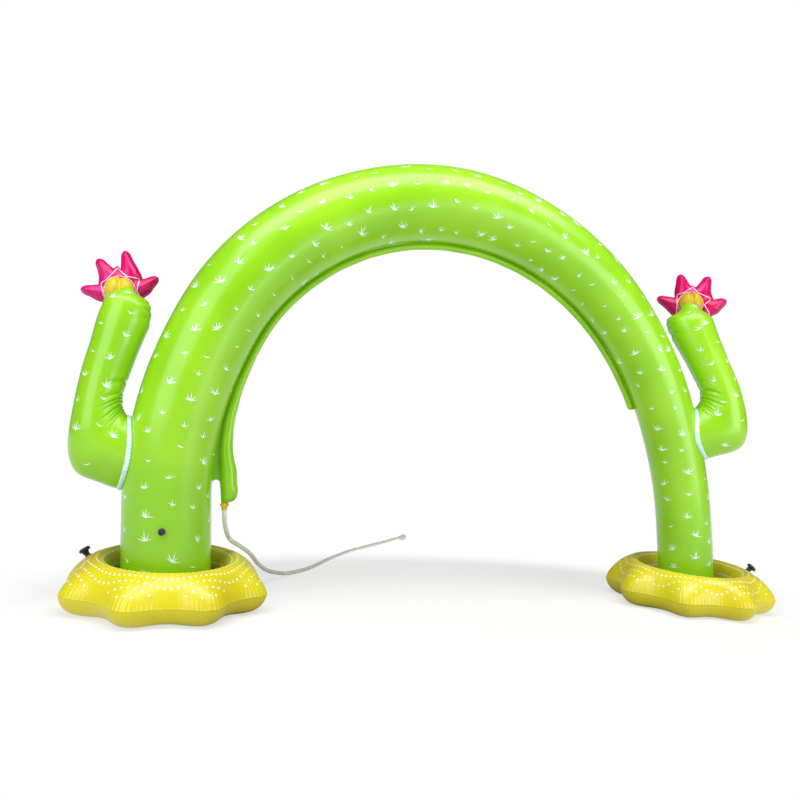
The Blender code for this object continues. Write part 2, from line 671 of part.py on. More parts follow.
def ring_valve_seat(side):
    """Point and outward normal at one of a base ring's vertices."""
    segments, place = RING_VALVES[side]
    angle = math.radians(LOBE_PHASE[side] + segments * 360 / (LOBE_COUNT * SEGMENTS_PER_LOBE))
    nudge = math.radians(1)
    round_the_ring = ring_skin(side, angle + nudge, place) - ring_skin(side, angle - nudge, place)
    up_the_section = ring_skin(side, angle, place + 1) - ring_skin(side, angle, place - 1)
    return ring_skin(side, angle, place), np.cross(round_the_ring, up_the_section)


def hose_points():
    """Evenly spaced points on one smooth curve through the hose's route."""
    dense = smooth_rows(HOSE_ROUTE, CURVE_STEPS)
    lengths = np.concatenate([[0], np.cumsum(np.linalg.norm(np.diff(dense, axis=0), axis=1))])
    count = round(lengths[-1] / HOSE_POINT_SPACING)
    at = np.linspace(0, lengths[-1], count + 1)
    return np.column_stack([np.interp(at, lengths, dense[:, k]) for k in range(3)])


def add_hose(points, material):
    curve = bpy.data.curves.new("hose", "CURVE")
    curve.dimensions = "3D"
    curve.bevel_depth = HOSE_RADIUS
    curve.bevel_resolution = 2
    curve.use_fill_caps = True
    spline = curve.splines.new("POLY")
    spline.points.add(len(points) - 1)
    for point, place in zip(spline.points, points):
        point.co = (*place, 1.0)
    curve.materials.append(material)
    hose = bpy.data.objects.new("hose", curve)
    bpy.context.collection.objects.link(hose)


def add_coupling(points, material):
    """The hose's tail piece and its screw nut, in line with the hose's last stretch."""
    direction = points[-1] - points[-2]
    direction[2] = 0
    seat = stand_on(points[-1], direction)
    add_object("hose_tail", turned(TAIL_PROFILE, COUPLING_SIDES), material, seat)
    slide = Matrix.Translation((0, 0, NUT_START))
    add_object("hose_nut", turned_sleeve(NUT_PROFILE, NUT_BORE, COUPLING_SIDES), material, seat @ slide)


# ---- the whole arch

def build():
    for obj in list(bpy.data.objects):
        bpy.data.objects.remove(obj, do_unlink=True)
    green = plastic("green PVC film", (0.305, 0.658, 0.026), 0.30)
    yellow = plastic("yellow PVC film", (0.775, 0.716, 0.032), 0.32)
    magenta = plastic("magenta PVC film", (0.610, 0.004, 0.102), 0.28)
    mustard = plastic("mustard PVC film", (0.640, 0.560, 0.017), 0.35)
    clear_strip = plastic("pale weld strip", (0.580, 0.810, 0.810), 0.35)
    black = plastic("black valve plastic", (0.012, 0.013, 0.018), 0.40)
    orange = plastic("orange adapter plastic", (0.830, 0.430, 0.013), 0.40)
    clear_hose = plastic("clear hose", (0.680, 0.750, 0.610), 0.20, 0.6)
    grey = plastic("pale coupling plastic", (0.620, 0.640, 0.640), 0.45)

    add_object("arch_tube", arch_mesh(), green)
    arch_cutter = add_object("cut_arch", arch_mesh(SEAT_GAP), None)
    collar_reach = add_object("collar_reach", arch_mesh(COLLAR_WIDTH), None)
    add_object("spray_strip", spray_mesh(), green)
    for side, word, table in ((LEFT, "left", LEFT_ARM), (RIGHT, "right", RIGHT_ARM)):
        arm = Arm(side, table)
        arm_object = add_object("arm_" + word, arm.mesh(), green)
        carve(arm_object, [arch_cutter])
        arm_cutter = add_object("cut_arm_" + word, arm.mesh(SEAT_GAP), None)
        collar = add_object("collar_" + word, arm.collar_mesh(), clear_strip)
        carve(collar, [collar_reach], "INTERSECT")
        carve(collar, [arm_cutter, arch_cutter])

        place = flower_place(arm, side)
        flower = add_object("flower_" + word, flower_mesh(side), magenta, place)
        carve(flower, [arm_cutter])
        flower_cutter = add_object("cut_flower_" + word, flower_mesh(side, SEAT_GAP), None, place)
        centre_place = place @ Matrix.Translation(CENTRE_PLACES[side])
        centre = add_object("flower_centre_" + word, centre_mesh(), mustard, centre_place)
        carve(centre, [arm_cutter, flower_cutter])

        add_object("base_" + word, ring_mesh(side), yellow)
        add_valve("base_" + word, RING_VALVE_BODY, RING_VALVE_CAP, *ring_valve_seat(side), black)

    add_valve("leg", LEG_VALVE_BODY, LEG_VALVE_CAP, *leg_valve_seat(), black)

    points = hose_points()
    add_object("hose_adapter", turned(ADAPTER_PROFILE, COUPLING_SIDES), orange, stand_on(*spray_end()))
    add_hose(points, clear_hose)
    add_coupling(points, grey)


build()
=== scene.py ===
import math

import bpy
import numpy as np
from mathutils import Matrix, Vector


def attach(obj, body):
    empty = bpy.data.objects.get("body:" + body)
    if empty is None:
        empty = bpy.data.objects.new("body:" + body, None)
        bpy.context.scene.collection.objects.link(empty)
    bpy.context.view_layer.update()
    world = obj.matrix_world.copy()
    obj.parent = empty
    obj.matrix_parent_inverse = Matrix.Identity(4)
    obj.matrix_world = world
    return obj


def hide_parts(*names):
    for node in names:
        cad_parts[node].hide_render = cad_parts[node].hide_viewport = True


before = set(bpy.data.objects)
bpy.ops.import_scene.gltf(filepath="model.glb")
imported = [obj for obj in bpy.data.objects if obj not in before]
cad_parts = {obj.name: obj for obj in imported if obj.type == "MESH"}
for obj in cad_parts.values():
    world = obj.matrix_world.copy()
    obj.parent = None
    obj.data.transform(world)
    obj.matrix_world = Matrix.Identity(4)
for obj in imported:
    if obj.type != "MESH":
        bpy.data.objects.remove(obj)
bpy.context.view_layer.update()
scene = bpy.context.scene
print("CAD frame loaded")

left, right = -1, 1
sideWord = {left: "left", right: "right"}
skinGap = 0.0003      # metres between two skins that touch


# Where the photograph was taken from. Angles in degrees, the focal length in pixels of an 800 pixel picture.
viewPoint = {"lookAt": (-0.273, 0.0, 0.8207), "distance": 2.838, "azimuth": -16.02, "elevation": -2.16,
             "roll": 4.03, "focalPixels": 698.0, "picturePixels": 800.0, "sensorWidth": 36.0}


def addCamera():
    azimuth, elevation, roll = (math.radians(viewPoint[key]) for key in ("azimuth", "elevation", "roll"))
    back = np.array([math.sin(azimuth) * math.cos(elevation), -math.cos(azimuth) * math.cos(elevation),
                     math.sin(elevation)])
    across = np.cross(-back, (0, 0, 1))
    across /= np.linalg.norm(across)
    upward = np.cross(across, -back)
    rolledAcross = math.cos(roll) * across + math.sin(roll) * upward
    rolledUp = -math.sin(roll) * across + math.cos(roll) * upward
    cameraData = bpy.data.cameras.new("camera")
    cameraData.sensor_width = viewPoint["sensorWidth"]
    cameraData.lens = viewPoint["focalPixels"] * viewPoint["sensorWidth"] / viewPoint["picturePixels"]
    cameraData.clip_end = 60
    camera = bpy.data.objects.new("camera", cameraData)
    scene.collection.objects.link(camera)
    turn = Matrix((rolledAcross, rolledUp, back)).transposed().to_4x4()
    turn.translation = Vector(np.array(viewPoint["lookAt"]) + viewPoint["distance"] * back)
    camera.matrix_world = turn
    scene.camera = camera


addCamera()


def linkPiece(name, data, finish, replaced=()):
    piece = bpy.data.objects.new(name, data)
    scene.collection.objects.link(piece)
    data.materials.append(finish.material)
    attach(piece, "root")
    if replaced:
        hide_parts(*replaced)
    return piece


def facesTurnedOut(points, faces):
    # The volume under a closed skin is the sum over its triangles of a . (b x c) / 6, below zero inside out.
    volume = sum(np.einsum("ij,ij->i", points[f[:, 0]], np.cross(points[f[:, k]], points[f[:, k + 1]])).sum()
                 for f in faces for k in range(1, f.shape[1] - 1))
    return volume > 0


def skinMesh(name, grid, measures=None, ring=False, poles=(None, None), marks=None):
    # A grid of points as one closed skin: quad (r, c) joins rows r and r + 1 at columns c and c + 1. The last
    # column meets the first, a ring's last row meets its first, and each pole closes an end by a fan.
    # measures are the UV map's two lengths at every corner, with one column more than the grid.
    rows, columns = grid.shape[:2]
    index = np.arange(rows * columns).reshape(rows, columns)
    lower, upper = (index, np.roll(index, -1, 0)) if ring else (index[:-1], index[1:])
    quads = np.stack([lower, np.roll(lower, -1, 1), np.roll(upper, -1, 1), upper], -1).reshape(-1, 4)
    points, faces, corners = grid.reshape(-1, 3), [quads], []
    if measures is not None:
        low, high = measures[:-1], measures[1:]
        corners.append(np.stack([low[:, :-1], low[:, 1:], high[:, 1:], high[:, :-1]], 2).reshape(-1, 4, 2))
    for end, pole in zip((0, rows - 1), poles):
        if pole is None:
            continue
        order = -1 if end == 0 else 1
        edge = np.stack([index[end], np.roll(index[end], -1)], 1)[:, ::order]
        faces.append(np.column_stack([edge, np.full(columns, len(points))]))
        points = np.vstack([points, pole])
        if measures is not None:
            pair = np.stack([measures[end][:-1], measures[end][1:]], 1)[:, ::order]
            corners.append(np.concatenate([pair, pair.mean(1, keepdims=True)], 1))
    if not facesTurnedOut(points, faces):
        faces, corners = ([group[:, ::-1] for group in groups] for groups in (faces, corners))
    mesh = bpy.data.meshes.new(name)
    mesh.from_pydata(points.tolist(), [], [face for group in faces for face in group.tolist()])
    if measures is not None:
        flat = np.concatenate([group.reshape(-1) for group in corners]).astype(np.float32)
        mesh.uv_layers.new(name="film").data.foreach_set("uv", flat)
    for label, values in (marks or {}).items():
        filled = np.zeros(len(points), np.float32)
        filled[:rows * columns] = np.broadcast_to(values, (rows, columns)).reshape(-1)
        mesh.attributes.new(label, "FLOAT", "POINT").data.foreach_set("value", filled)
    mesh.shade_smooth()
    mesh.update()
    return mesh


def patchMesh(name, grid):
    # An open sheet from a grid of points. It gets its thickness from Solidify.
    rows, columns = grid.shape[:2]
    index = np.arange(rows * columns).reshape(rows, columns)
    quads = np.stack([index[:-1, :-1], index[:-1, 1:], index[1:, 1:], index[1:, :-1]], -1).reshape(-1, 4)
    mesh = bpy.data.meshes.new(name)
    mesh.from_pydata(grid.reshape(-1, 3).tolist(), [], quads.tolist())
    mesh.shade_smooth()
    return mesh


def thicken(piece, thickness, offset):
    solidify = piece.modifiers.new("thickness", "SOLIDIFY")
    solidify.thickness = thickness
    solidify.offset = offset


def roundTurns(count):
    # Angles spread evenly over one full turn.
    return np.linspace(0, 2 * math.pi, count, endpoint=False)


def unit(vectors):
    return vectors / np.linalg.norm(vectors, axis=-1, keepdims=True)


def onCircle(angle):
    return np.stack([np.cos(angle), np.sin(angle)], -1)


def runAlong(points):
    # Length of a line of points from its first one to each.
    return np.concatenate([[0], np.cumsum(np.linalg.norm(np.diff(points, axis=0), axis=-1))])


def endMiddles(grid):
    return grid[0].mean(0), grid[-1].mean(0)


def filmMeasures(lengths, widths):
    # The UV map of a tube: a length for each row, and a width for each column or corner.
    return np.stack(np.broadcast_arrays(lengths[:, None], widths), -1)


def onceRound(angles):
    # The first angle again, one turn on, closes a tube's film map.
    return np.append(angles, angles[0] + 2 * math.pi)


def spreadOver(*values):
    # Numbers and arrays as arrays of one common shape.
    return np.broadcast_arrays(*(np.asarray(value, float) for value in values))


def stoodIn(matrix, local):
    return local @ np.array(matrix.to_3x3()).T + np.array(matrix.translation)


def sided(word, side):
    # A piece's own name, such as armLeft.
    return word + sideWord[side].title()


def smoothStep(low, high, value):
    # 0 at low and 1 at high, with a soft start and end between them. Low may be the larger one.
    share = np.clip((value - low) / (high - low), 0, 1)
    return share * share * (3 - 2 * share)


def roundedAngle(angle):
    # The same angle between minus pi and pi.
    return (angle + math.pi) % (2 * math.pi) - math.pi


def throughRows(table, station):
    # Catmull-Rom curve through the rows of a table, at any array of stations.
    table = np.array(table, float)
    padded = np.vstack([2 * table[0] - table[1], table, 2 * table[-1] - table[-2]])
    station = np.asarray(station, float)
    index = np.clip(np.floor(station).astype(int), 0, len(table) - 2)
    t = (station - index)[..., None]
    a, b, c, d = (padded[index + k] for k in range(4))
    square, cube = 2 * a - 5 * b + 4 * c - d, 3 * b - a - 3 * c + d
    return 0.5 * (2 * b + (c - a) * t + square * t ** 2 + cube * t ** 3)


def smoothLookup(value, xs, ys):
    # Cubic Hermite curve through (xs, ys) with slopes from the neighbours, flat beyond both ends.
    xs, ys = np.array(xs, float), np.array(ys, float)
    slopes = np.gradient(ys, xs)
    value = np.clip(value, xs[0], xs[-1])
    i = np.clip(np.searchsorted(xs, value, "right") - 1, 0, len(xs) - 2)
    width = xs[i + 1] - xs[i]
    t = (value - xs[i]) / width
    return ((2 * t ** 3 - 3 * t ** 2 + 1) * ys[i] + (t ** 3 - 2 * t ** 2 + t) * width * slopes[i]
            + (3 * t ** 2 - 2 * t ** 3) * ys[i + 1] + (t ** 3 - t ** 2) * width * slopes[i + 1])


class Wire:
    # One number in a shader. Python's operators on it add the Math node of the same name.
    def __init__(self, finish, socket):
        self.finish, self.socket = finish, socket

    def __add__(self, other):
        return self.finish.maths("ADD", self, other)

    def __sub__(self, other):
        return self.finish.maths("SUBTRACT", self, other)

    def __rsub__(self, other):
        return self.finish.maths("SUBTRACT", other, self)

    def __mul__(self, other):
        return self.finish.maths("MULTIPLY", self, other)

    __radd__, __rmul__ = __add__, __mul__


class Finish:
    # One material: its Principled shader with its constants, and the nodes that feed it.
    def __init__(self, name, **constants):
        self.material = bpy.data.materials.new(name)
        self.material.use_nodes = True
        self.tree = self.material.node_tree
        self.shader = self.tree.nodes["Principled BSDF"]
        words = {"specular": "Specular IOR Level", "coat": "Coat Weight",
                 "coatRoughness": "Coat Roughness", "roughness": "Roughness"}
        for key, value in constants.items():
            self.shader.inputs[words[key]].default_value = value

    def feed(self, socket, value):
        if isinstance(value, Wire):
            value = value.socket
        if isinstance(value, bpy.types.NodeSocket):
            self.tree.links.new(value, socket)
        else:
            socket.default_value = value

    def node(self, kind, settings=None, sockets=None):
        node = self.tree.nodes.new(kind)
        for key, value in (settings or {}).items():
            setattr(node, key, value)
        for key, value in (sockets or {}).items():
            self.feed(node.inputs[key], value)
        return node

    def maths(self, operation, *values):
        return Wire(self, self.node("ShaderNodeMath", {"operation": operation},
                                    dict(enumerate(values))).outputs[0])

    def objectPlace(self):
        return self.node("ShaderNodeTexCoord").outputs["Object"]

    def lengthAlong(self):
        # The first of the film map's two lengths.
        lengths = self.node("ShaderNodeUVMap", {"uv_map": "film"}).outputs[0]
        return Wire(self, self.node("ShaderNodeSeparateXYZ", sockets={0: lengths}).outputs[0])

    def mark(self, label):
        return Wire(self, self.node("ShaderNodeAttribute", {"attribute_name": label}).outputs["Fac"])

    def noise(self, place, scale, detail=2.0):
        node = self.node("ShaderNodeTexNoise", sockets={"Vector": place, "Scale": scale, "Detail": detail})
        return Wire(self, node.outputs[0])

    def between(self, value, low, high):
        # 0 at low and 1 at high, soft at both ends.
        node = self.node("ShaderNodeMapRange", {"interpolation_type": "SMOOTHSTEP"},
                         {0: value, 1: low, 2: high})
        return Wire(self, node.outputs[0])

    def mixed(self, first, second, share):
        node = self.node("ShaderNodeMix", {"data_type": "RGBA"}, {0: share, 6: first, 7: second})
        return node.outputs[2]

    def dress(self, colour, gloss, height=None):
        # What changes over the surface. Heights are in millimetres.
        self.feed(self.shader.inputs["Base Color"], colour)
        self.feed(self.shader.inputs["Roughness"], gloss)
        if height is not None:
            bump = self.node("ShaderNodeBump", sockets={"Height": height, "Distance": 0.001, "Strength": 1.0})
            self.feed(self.shader.inputs["Normal"], bump.outputs[0])
        return self


def shade(red, green, blue):
    return (red, green, blue, 1.0)


# Colours are linear. Wave is how high the film's soft unevenness stands, in millimetres.
films = {
    "green": {"lit": shade(0.300, 0.640, 0.010), "deep": shade(0.235, 0.560, 0.005), "roughness": 0.27,
              "wave": 0.5, "sheen": 0.5},
    "yellow": {"lit": shade(0.740, 0.670, 0.012), "deep": shade(0.680, 0.570, 0.008), "roughness": 0.32,
               "wave": 0.4, "sheen": 0.5},
    "magenta": {"lit": shade(0.660, 0.001, 0.215), "deep": shade(0.540, 0.000, 0.095), "roughness": 0.24,
                "wave": 0.2, "sheen": 0.3},
    "mustard": {"lit": shade(0.640, 0.530, 0.012), "deep": shade(0.520, 0.370, 0.008), "roughness": 0.36,
                "wave": 0.2, "sheen": 0.35},
}


# Scales of the noises, heights in millimetres, the ribs' pitch and the weld's inner and outer edge in metres.
filmTexture = {"cloudScale": 3.2, "grainScale": 420.0, "waveScale": 11.0, "grainHeight": 0.015,
               "ribPitch": 0.0024, "ribHeight": 0.12, "weldEdges": (0.0028, 0.0045), "coatShare": 0.3}


def inflatedFilm(word, seamed):
    # Welded PVC film: cloudy colour, uneven gloss, soft waves, and pressed ribs along its seams.
    values, texture = films[word], filmTexture
    finish = Finish(word + "Film", specular=values["sheen"], coat=texture["coatShare"] * values["sheen"],
                    coatRoughness=0.12)
    place = finish.objectPlace()
    clouds = finish.noise(place, texture["cloudScale"])
    grain = finish.noise(place, texture["grainScale"])
    waves = finish.noise(place, texture["waveScale"], 1.0)
    colour = finish.mixed(values["deep"], values["lit"], finish.between(clouds, 0.30, 0.70))
    height = waves * values["wave"] + grain * texture["grainHeight"]
    gloss = values["roughness"] + (grain - 0.5) * 0.06 + (clouds - 0.5) * 0.08
    if seamed:
        weld = 1 - finish.between(finish.mark("seam"), *texture["weldEdges"])
        ribs = finish.maths("SINE", finish.lengthAlong() * (2 * math.pi / texture["ribPitch"]))
        height = height + weld * ribs * texture["ribHeight"]
        gloss = gloss + weld * 0.08
        colour = finish.mixed(colour, values["deep"], weld * 0.15)
    return finish.dress(colour, gloss, height)


def printedInk(name, colour, edge):
    # Ink on film: a slightly patchy coat.
    finish = Finish(name, specular=0.5, coat=0.2, coatRoughness=0.2)
    patches = finish.noise(finish.objectPlace(), 260.0, 3.0)
    return finish.dress(finish.mixed(edge, colour, finish.between(patches, 0.34, 0.52)),
                        0.36 + patches * 0.10)


def mouldedPlastic(name, colour, worn, roughness):
    # Moulded plastic: fine sparks from the tool, and a slightly lighter, duller bloom in patches.
    finish = Finish(name, specular=0.5)
    sparks = finish.noise(finish.objectPlace(), 1400.0, 3.0)
    bloom = finish.noise(finish.objectPlace(), 90.0)
    return finish.dress(finish.mixed(colour, worn, finish.between(bloom, 0.45, 0.75)),
                        roughness + bloom * 0.10 + (sparks - 0.5) * 0.08, sparks * 0.03)


def clearFilm(name, colour, alpha, cloudy):
    # Clear flexible PVC: see-through, a little milky in patches.
    finish = Finish(name, specular=0.6, coat=0.3, coatRoughness=0.1)
    place = finish.objectPlace()
    clouds = finish.noise(place, 38.0)
    finish.feed(finish.shader.inputs["Alpha"], alpha + (clouds - 0.5) * 0.12)
    return finish.dress(finish.mixed(colour, cloudy, finish.between(clouds, 0.35, 0.65)),
                        0.16 + clouds * 0.10, finish.noise(place, 130.0) * 0.10)


greenFilm = inflatedFilm("green", True)
yellowFilm = inflatedFilm("yellow", True)
magentaFilm = inflatedFilm("magenta", True)
mustardFilm = inflatedFilm("mustard", False)
whiteInk = printedInk("whiteInk", shade(0.82, 0.93, 0.95), shade(0.58, 0.80, 0.72))
dotInk = printedInk("dotInk", shade(0.93, 0.92, 0.80), shade(0.88, 0.84, 0.50))
petalInk = printedInk("petalInk", shade(0.92, 0.66, 0.80), shade(0.85, 0.42, 0.62))
weldStrip = clearFilm("weldStrip", shade(0.56, 0.83, 0.82), 0.97, shade(0.76, 0.92, 0.92))
hoseClear = clearFilm("hoseClear", shade(0.66, 0.73, 0.56), 0.72, shade(0.80, 0.84, 0.72))
valveBlack = mouldedPlastic("valveBlack", shade(0.012, 0.013, 0.020), shade(0.035, 0.038, 0.052), 0.30)
adapterOrange = mouldedPlastic("adapterOrange", shade(0.900, 0.520, 0.012), shade(0.920, 0.620, 0.045), 0.34)
couplingGrey = mouldedPlastic("couplingGrey", shade(0.600, 0.630, 0.620), shade(0.700, 0.720, 0.700), 0.38)
print("finishes made")


# Points down its middle, from the adapter over the left ring and away behind the arch to its coupling.
hose = {
    "radius": 0.0085, "stepsBetweenRows": 12, "roundness": 5,
    "route": (
        (-0.9316, 0.0000, 0.3530), (-0.9294, 0.0000, 0.3225), (-0.9200, 0.0110, 0.2790),
        (-0.8990, 0.0460, 0.2340), (-0.8540, 0.1130, 0.1960), (-0.8080, 0.1720, 0.1560),
        (-0.7680, 0.2320, 0.1050), (-0.7260, 0.3010, 0.0650), (-0.6730, 0.3850, 0.0350),
        (-0.6010, 0.4740, 0.0150), (-0.4840, 0.6180, 0.0090), (-0.3450, 0.8480, 0.0088),
        (-0.1930, 1.0650, 0.0088), (-0.0340, 1.2480, 0.0088), (0.1060, 1.3930, 0.0110),
        (0.1760, 1.4590, 0.0165), (0.2210, 1.4990, 0.0165)),
}


def addHose():
    rows = len(hose["route"]) - 1
    points = throughRows(hose["route"], np.linspace(0, rows, rows * hose["stepsBetweenRows"] + 1))
    curve = bpy.data.curves.new("hoseTube", "CURVE")
    curve.dimensions = "3D"
    curve.bevel_depth = hose["radius"]
    curve.bevel_resolution = hose["roundness"]
    curve.use_fill_caps = True
    spline = curve.splines.new("POLY")
    spline.points.add(len(points) - 1)
    spline.points.foreach_set("co", np.column_stack([points, np.ones(len(points))]).reshape(-1))
    piece = linkPiece("hoseTube", curve, hoseClear, ["hose"])
    return piece, float(runAlong(points)[-1]), points


hoseTube, hoseLength, hoseMiddle = addHose()
print("hose laid,", round(hoseLength, 3), "m")


sharpFrom = math.radians(42)      # an edge that turns by more stays sharp


def addTurned(name, profile, matrix, finish, replaced, sides=48, bore=False,
              ribs=0, ribDepth=0.0, ribRows=()):
    # A profile of heights and radii carried round +Z, then stood in place by the matrix. Point (r, a) is
    # (radius cos a, radius sin a, height), and a ribbed row's radius is larger by
    # ribDepth (0.5 + 0.5 cos(ribs a)).
    height, radius = (np.repeat(column[:, None], sides, 1) for column in np.array(profile, float).T)
    angle = roundTurns(sides)
    radius[list(ribRows)] += ribDepth * (0.5 + 0.5 * np.cos(ribs * angle))
    grid = stoodIn(matrix, np.stack([radius * np.cos(angle), radius * np.sin(angle), height], -1))
    mesh = skinMesh(name, grid, ring=bore, poles=(None, None) if bore else endMiddles(grid))
    mesh.set_sharp_from_angle(angle=sharpFrom)
    return linkPiece(name, mesh, finish, replaced)


def seatOn(point, normal):
    # +Z along the skin's normal.
    normal = Vector(np.array(normal) / np.linalg.norm(normal))
    matrix = normal.to_track_quat("Z", "Y").to_matrix().to_4x4()
    matrix.translation = Vector(point) + normal * skinGap
    return matrix


# Rows of distance along the axis and radius.
fittings = {
    "adapterCup": ((0, 0.0120), (0.0004, 0.0136), (0.0012, 0.0141), (0.0034, 0.0146), (0.0044, 0.0157),
                   (0.0052, 0.0160), (0.0062, 0.0160), (0.0070, 0.0156), (0.0078, 0.0160), (0.0088, 0.0160),
                   (0.0096, 0.0156), (0.0104, 0.0159), (0.0112, 0.0156), (0.0122, 0.0140), (0.0136, 0.0122),
                   (0.0150, 0.0118), (0.0232, 0.0112), (0.0245, 0.0108), (0.0256, 0.0100), (0.0260, 0.0092)),
    "tail": ((0, 0.0112), (0.0006, 0.0121), (0.0018, 0.0125), (0.0040, 0.0127), (0.0046, 0.0132),
             (0.0052, 0.0127), (0.0092, 0.0130), (0.0098, 0.0135), (0.0104, 0.0130), (0.0145, 0.0134),
             (0.0162, 0.0139), (0.0176, 0.0140), (0.0184, 0.0136), (0.0192, 0.0112), (0.0200, 0.0105),
             (0.0452, 0.0105), (0.0459, 0.0102), (0.0460, 0.0098)),
    "nut": ((0, 0.0109), (0, 0.0150), (0.0006, 0.0157), (0.0020, 0.0161), (0.0034, 0.0163),
            (0.0200, 0.0163), (0.0216, 0.0161), (0.0232, 0.0157), (0.0240, 0.0150), (0.0240, 0.0109)),
    "nutStart": 0.0215,
}


def addCoupling():
    direction = hoseMiddle[-1] - hoseMiddle[-2]
    direction[2] = 0
    seat = seatOn(hoseMiddle[-1], direction)
    tail = addTurned("hoseTail", fittings["tail"], seat, couplingGrey, ["hose_tail"])
    slide = seat @ Matrix.Translation((0, 0, fittings["nutStart"]))
    nut = addTurned("hoseNut", fittings["nut"], slide, couplingGrey, ["hose_nut"],
                    sides=120, bore=True, ribs=24, ribDepth=0.0007, ribRows=(4, 5))


addCoupling()
print("coupling on the hose's far end")


arch = {
    "footSpan": 2.274, "feetMiddle": 0.021, "topHeight": 1.646, "arcHalfWidth": 1.133, "arcRise": 1.287,
    "crownLean": -0.121, "legFlare": 1.5, "levelBelow": 0.15,
    # place along the tube from the left foot (0 to 1), radius, degrees that the seam turns to the back
    "table": ((0.00, 0.1580, 0.0), (0.12, 0.1580, 0.0), (0.30, 0.1580, 6.2), (0.50, 0.1545, 13.0),
              (0.70, 0.1310, 20.9), (0.82, 0.1205, 25.6), (0.88, 0.1185, 28.0), (1.00, 0.1185, 28.0)),
    # height, how far the left leg sways along X from the plain line there, and the right leg
    "sway": ((0.000, 0.000, 0.000), (0.250, 0.000, -0.004), (0.450, 0.000, -0.013), (0.640, 0.001, -0.018),
             (0.800, 0.001, -0.017), (0.980, 0.000, -0.008), (1.200, -0.008, 0.002), (1.420, -0.003, 0.011),
             (1.646, 0.010, 0.010)),
    # height above the foot, how much smaller the radius is
    "footRounding": ((0.0, 0.0120), (0.0035, 0.0110), (0.009, 0.0055), (0.019, 0.0015), (0.040, 0.0)),
    "arcPoints": 1200, "legPoints": 400, "swayPoints": 161, "stations": 560, "sides": 92,
    # extra rows near the feet, and extra columns beside the seam
    "endRows": (0, 0.0012, 0.0035, 0.006, 0.009, 0.013, 0.019, 0.027), "firstEven": 0.035,
    "seamColumns": (0.008, 0.018, 0.03, 0.05),
    "seamHeight": 0.0008, "seamWidth": 0.0030, "swell": 0.0009, "gathersFrom": (0.45, 0.95),
    "gatherDepth": 0.0011, "gatherReach": 0.42, "gatherPitch": 0.031,
    "puckerDepth": 0.0016, "puckerCount": 44, "puckerReach": 0.035,
}


def archPath():
    # The tube's axis: half an ellipse on two short legs that flare, all leaning with height.
    springLine = arch["topHeight"] - arch["arcRise"]
    angle = np.linspace(0, math.pi / 2, arch["arcPoints"])
    arc = np.column_stack([arch["arcHalfWidth"] * np.sin(angle),
                           springLine + arch["arcRise"] * np.cos(angle)])
    drop = np.linspace(0, 1, arch["legPoints"])[1:]
    flare = arch["footSpan"] / 2 - arch["arcHalfWidth"]
    leg = np.column_stack([arch["arcHalfWidth"] + flare * drop ** arch["legFlare"], springLine * (1 - drop)])
    rightHalf = np.vstack([arc, leg])
    path = np.vstack([rightHalf[:0:-1] * (-1, 1), rightHalf])
    path[:, 0] += arch["feetMiddle"] + arch["crownLean"] * path[:, 1] / arch["topHeight"]
    heights, leftSway, rightSway = throughRows(arch["sway"],
                                                np.linspace(0, len(arch["sway"]) - 1, arch["swayPoints"])).T
    onLeft = np.arange(len(path)) < len(path) // 2
    path[:, 0] += np.where(onLeft, np.interp(path[:, 1], heights, leftSway),
                           np.interp(path[:, 1], heights, rightSway))
    return path


axis = archPath()
axisLengths = runAlong(axis)
axisSlopes = np.gradient(axis, axisLengths, axis=0)
tubeLength = axisLengths[-1]


def tubeFrame(length):
    # Centre, seam direction, side direction and radius of the tube at an array of lengths.
    length = np.clip(length, 0, tubeLength)
    centre = np.stack([np.interp(length, axisLengths, axis[:, 0]), np.zeros_like(length),
                       np.interp(length, axisLengths, axis[:, 1])], -1)
    along = np.stack([np.interp(length, axisLengths, axisSlopes[:, k]) for k in (0, 1)], -1)
    fromFoot = np.minimum(length, tubeLength - length)
    level = np.clip(1 - fromFoot / arch["levelBelow"], 0, 1)[..., None]
    upright = np.stack([np.zeros_like(length), np.where(length < tubeLength / 2, 1.0, -1.0)], -1)
    along = unit(along * (1 - level) + upright * level)
    zero = np.zeros_like(length)
    inward = np.stack([along[..., 1], zero, -along[..., 0]], -1)
    back = np.stack([zero, zero + 1, zero], -1)
    places, radii, turns = np.array(arch["table"]).T
    turn = np.radians(np.interp(length / tubeLength, places, turns))[..., None]
    seam = np.cos(turn) * inward + np.sin(turn) * back
    side = -np.sin(turn) * inward + np.cos(turn) * back
    return centre, seam, side, np.interp(length / tubeLength, places, radii)


def archRelief(length, turn, radius):
    # Height of the film above a plain tube. The weld is a ridge along the outer line. Gathers are a row of
    # sharp folds that fade away from the inner line, as -depth exp(-(turn / reach)^2) |cos|^6. Puckers
    # stand round each foot's weld.
    fromFoot = np.minimum(length, tubeLength - length)
    fromSeam = np.abs(roundedAngle(turn - math.pi)) * radius
    ridge = arch["seamHeight"] * np.exp(-(fromSeam / arch["seamWidth"]) ** 2)
    fade = np.exp(-(roundedAngle(turn) / arch["gatherReach"]) ** 2)
    fade = fade * smoothStep(*arch["gathersFrom"], fromFoot)
    drift = 1.3 * np.sin(5.1 * length) + 0.8 * np.sin(11.7 * length + 1.0)
    fold = np.abs(np.cos(math.pi * length / arch["gatherPitch"] + drift + 0.5 * np.sin(3 * turn))) ** 6
    pucker = np.exp(-(fromFoot / arch["puckerReach"]) ** 1.5) * np.cos(arch["puckerCount"] * turn
                                                                      + 1.5 * np.sin(3 * turn))
    swell = arch["swell"] * np.sin(7.3 * length + 2 * np.sin(turn)) * np.cos(2 * turn + 1.7 * length)
    return ridge - arch["gatherDepth"] * fade * fold + arch["puckerDepth"] * pucker * 0.5 + swell


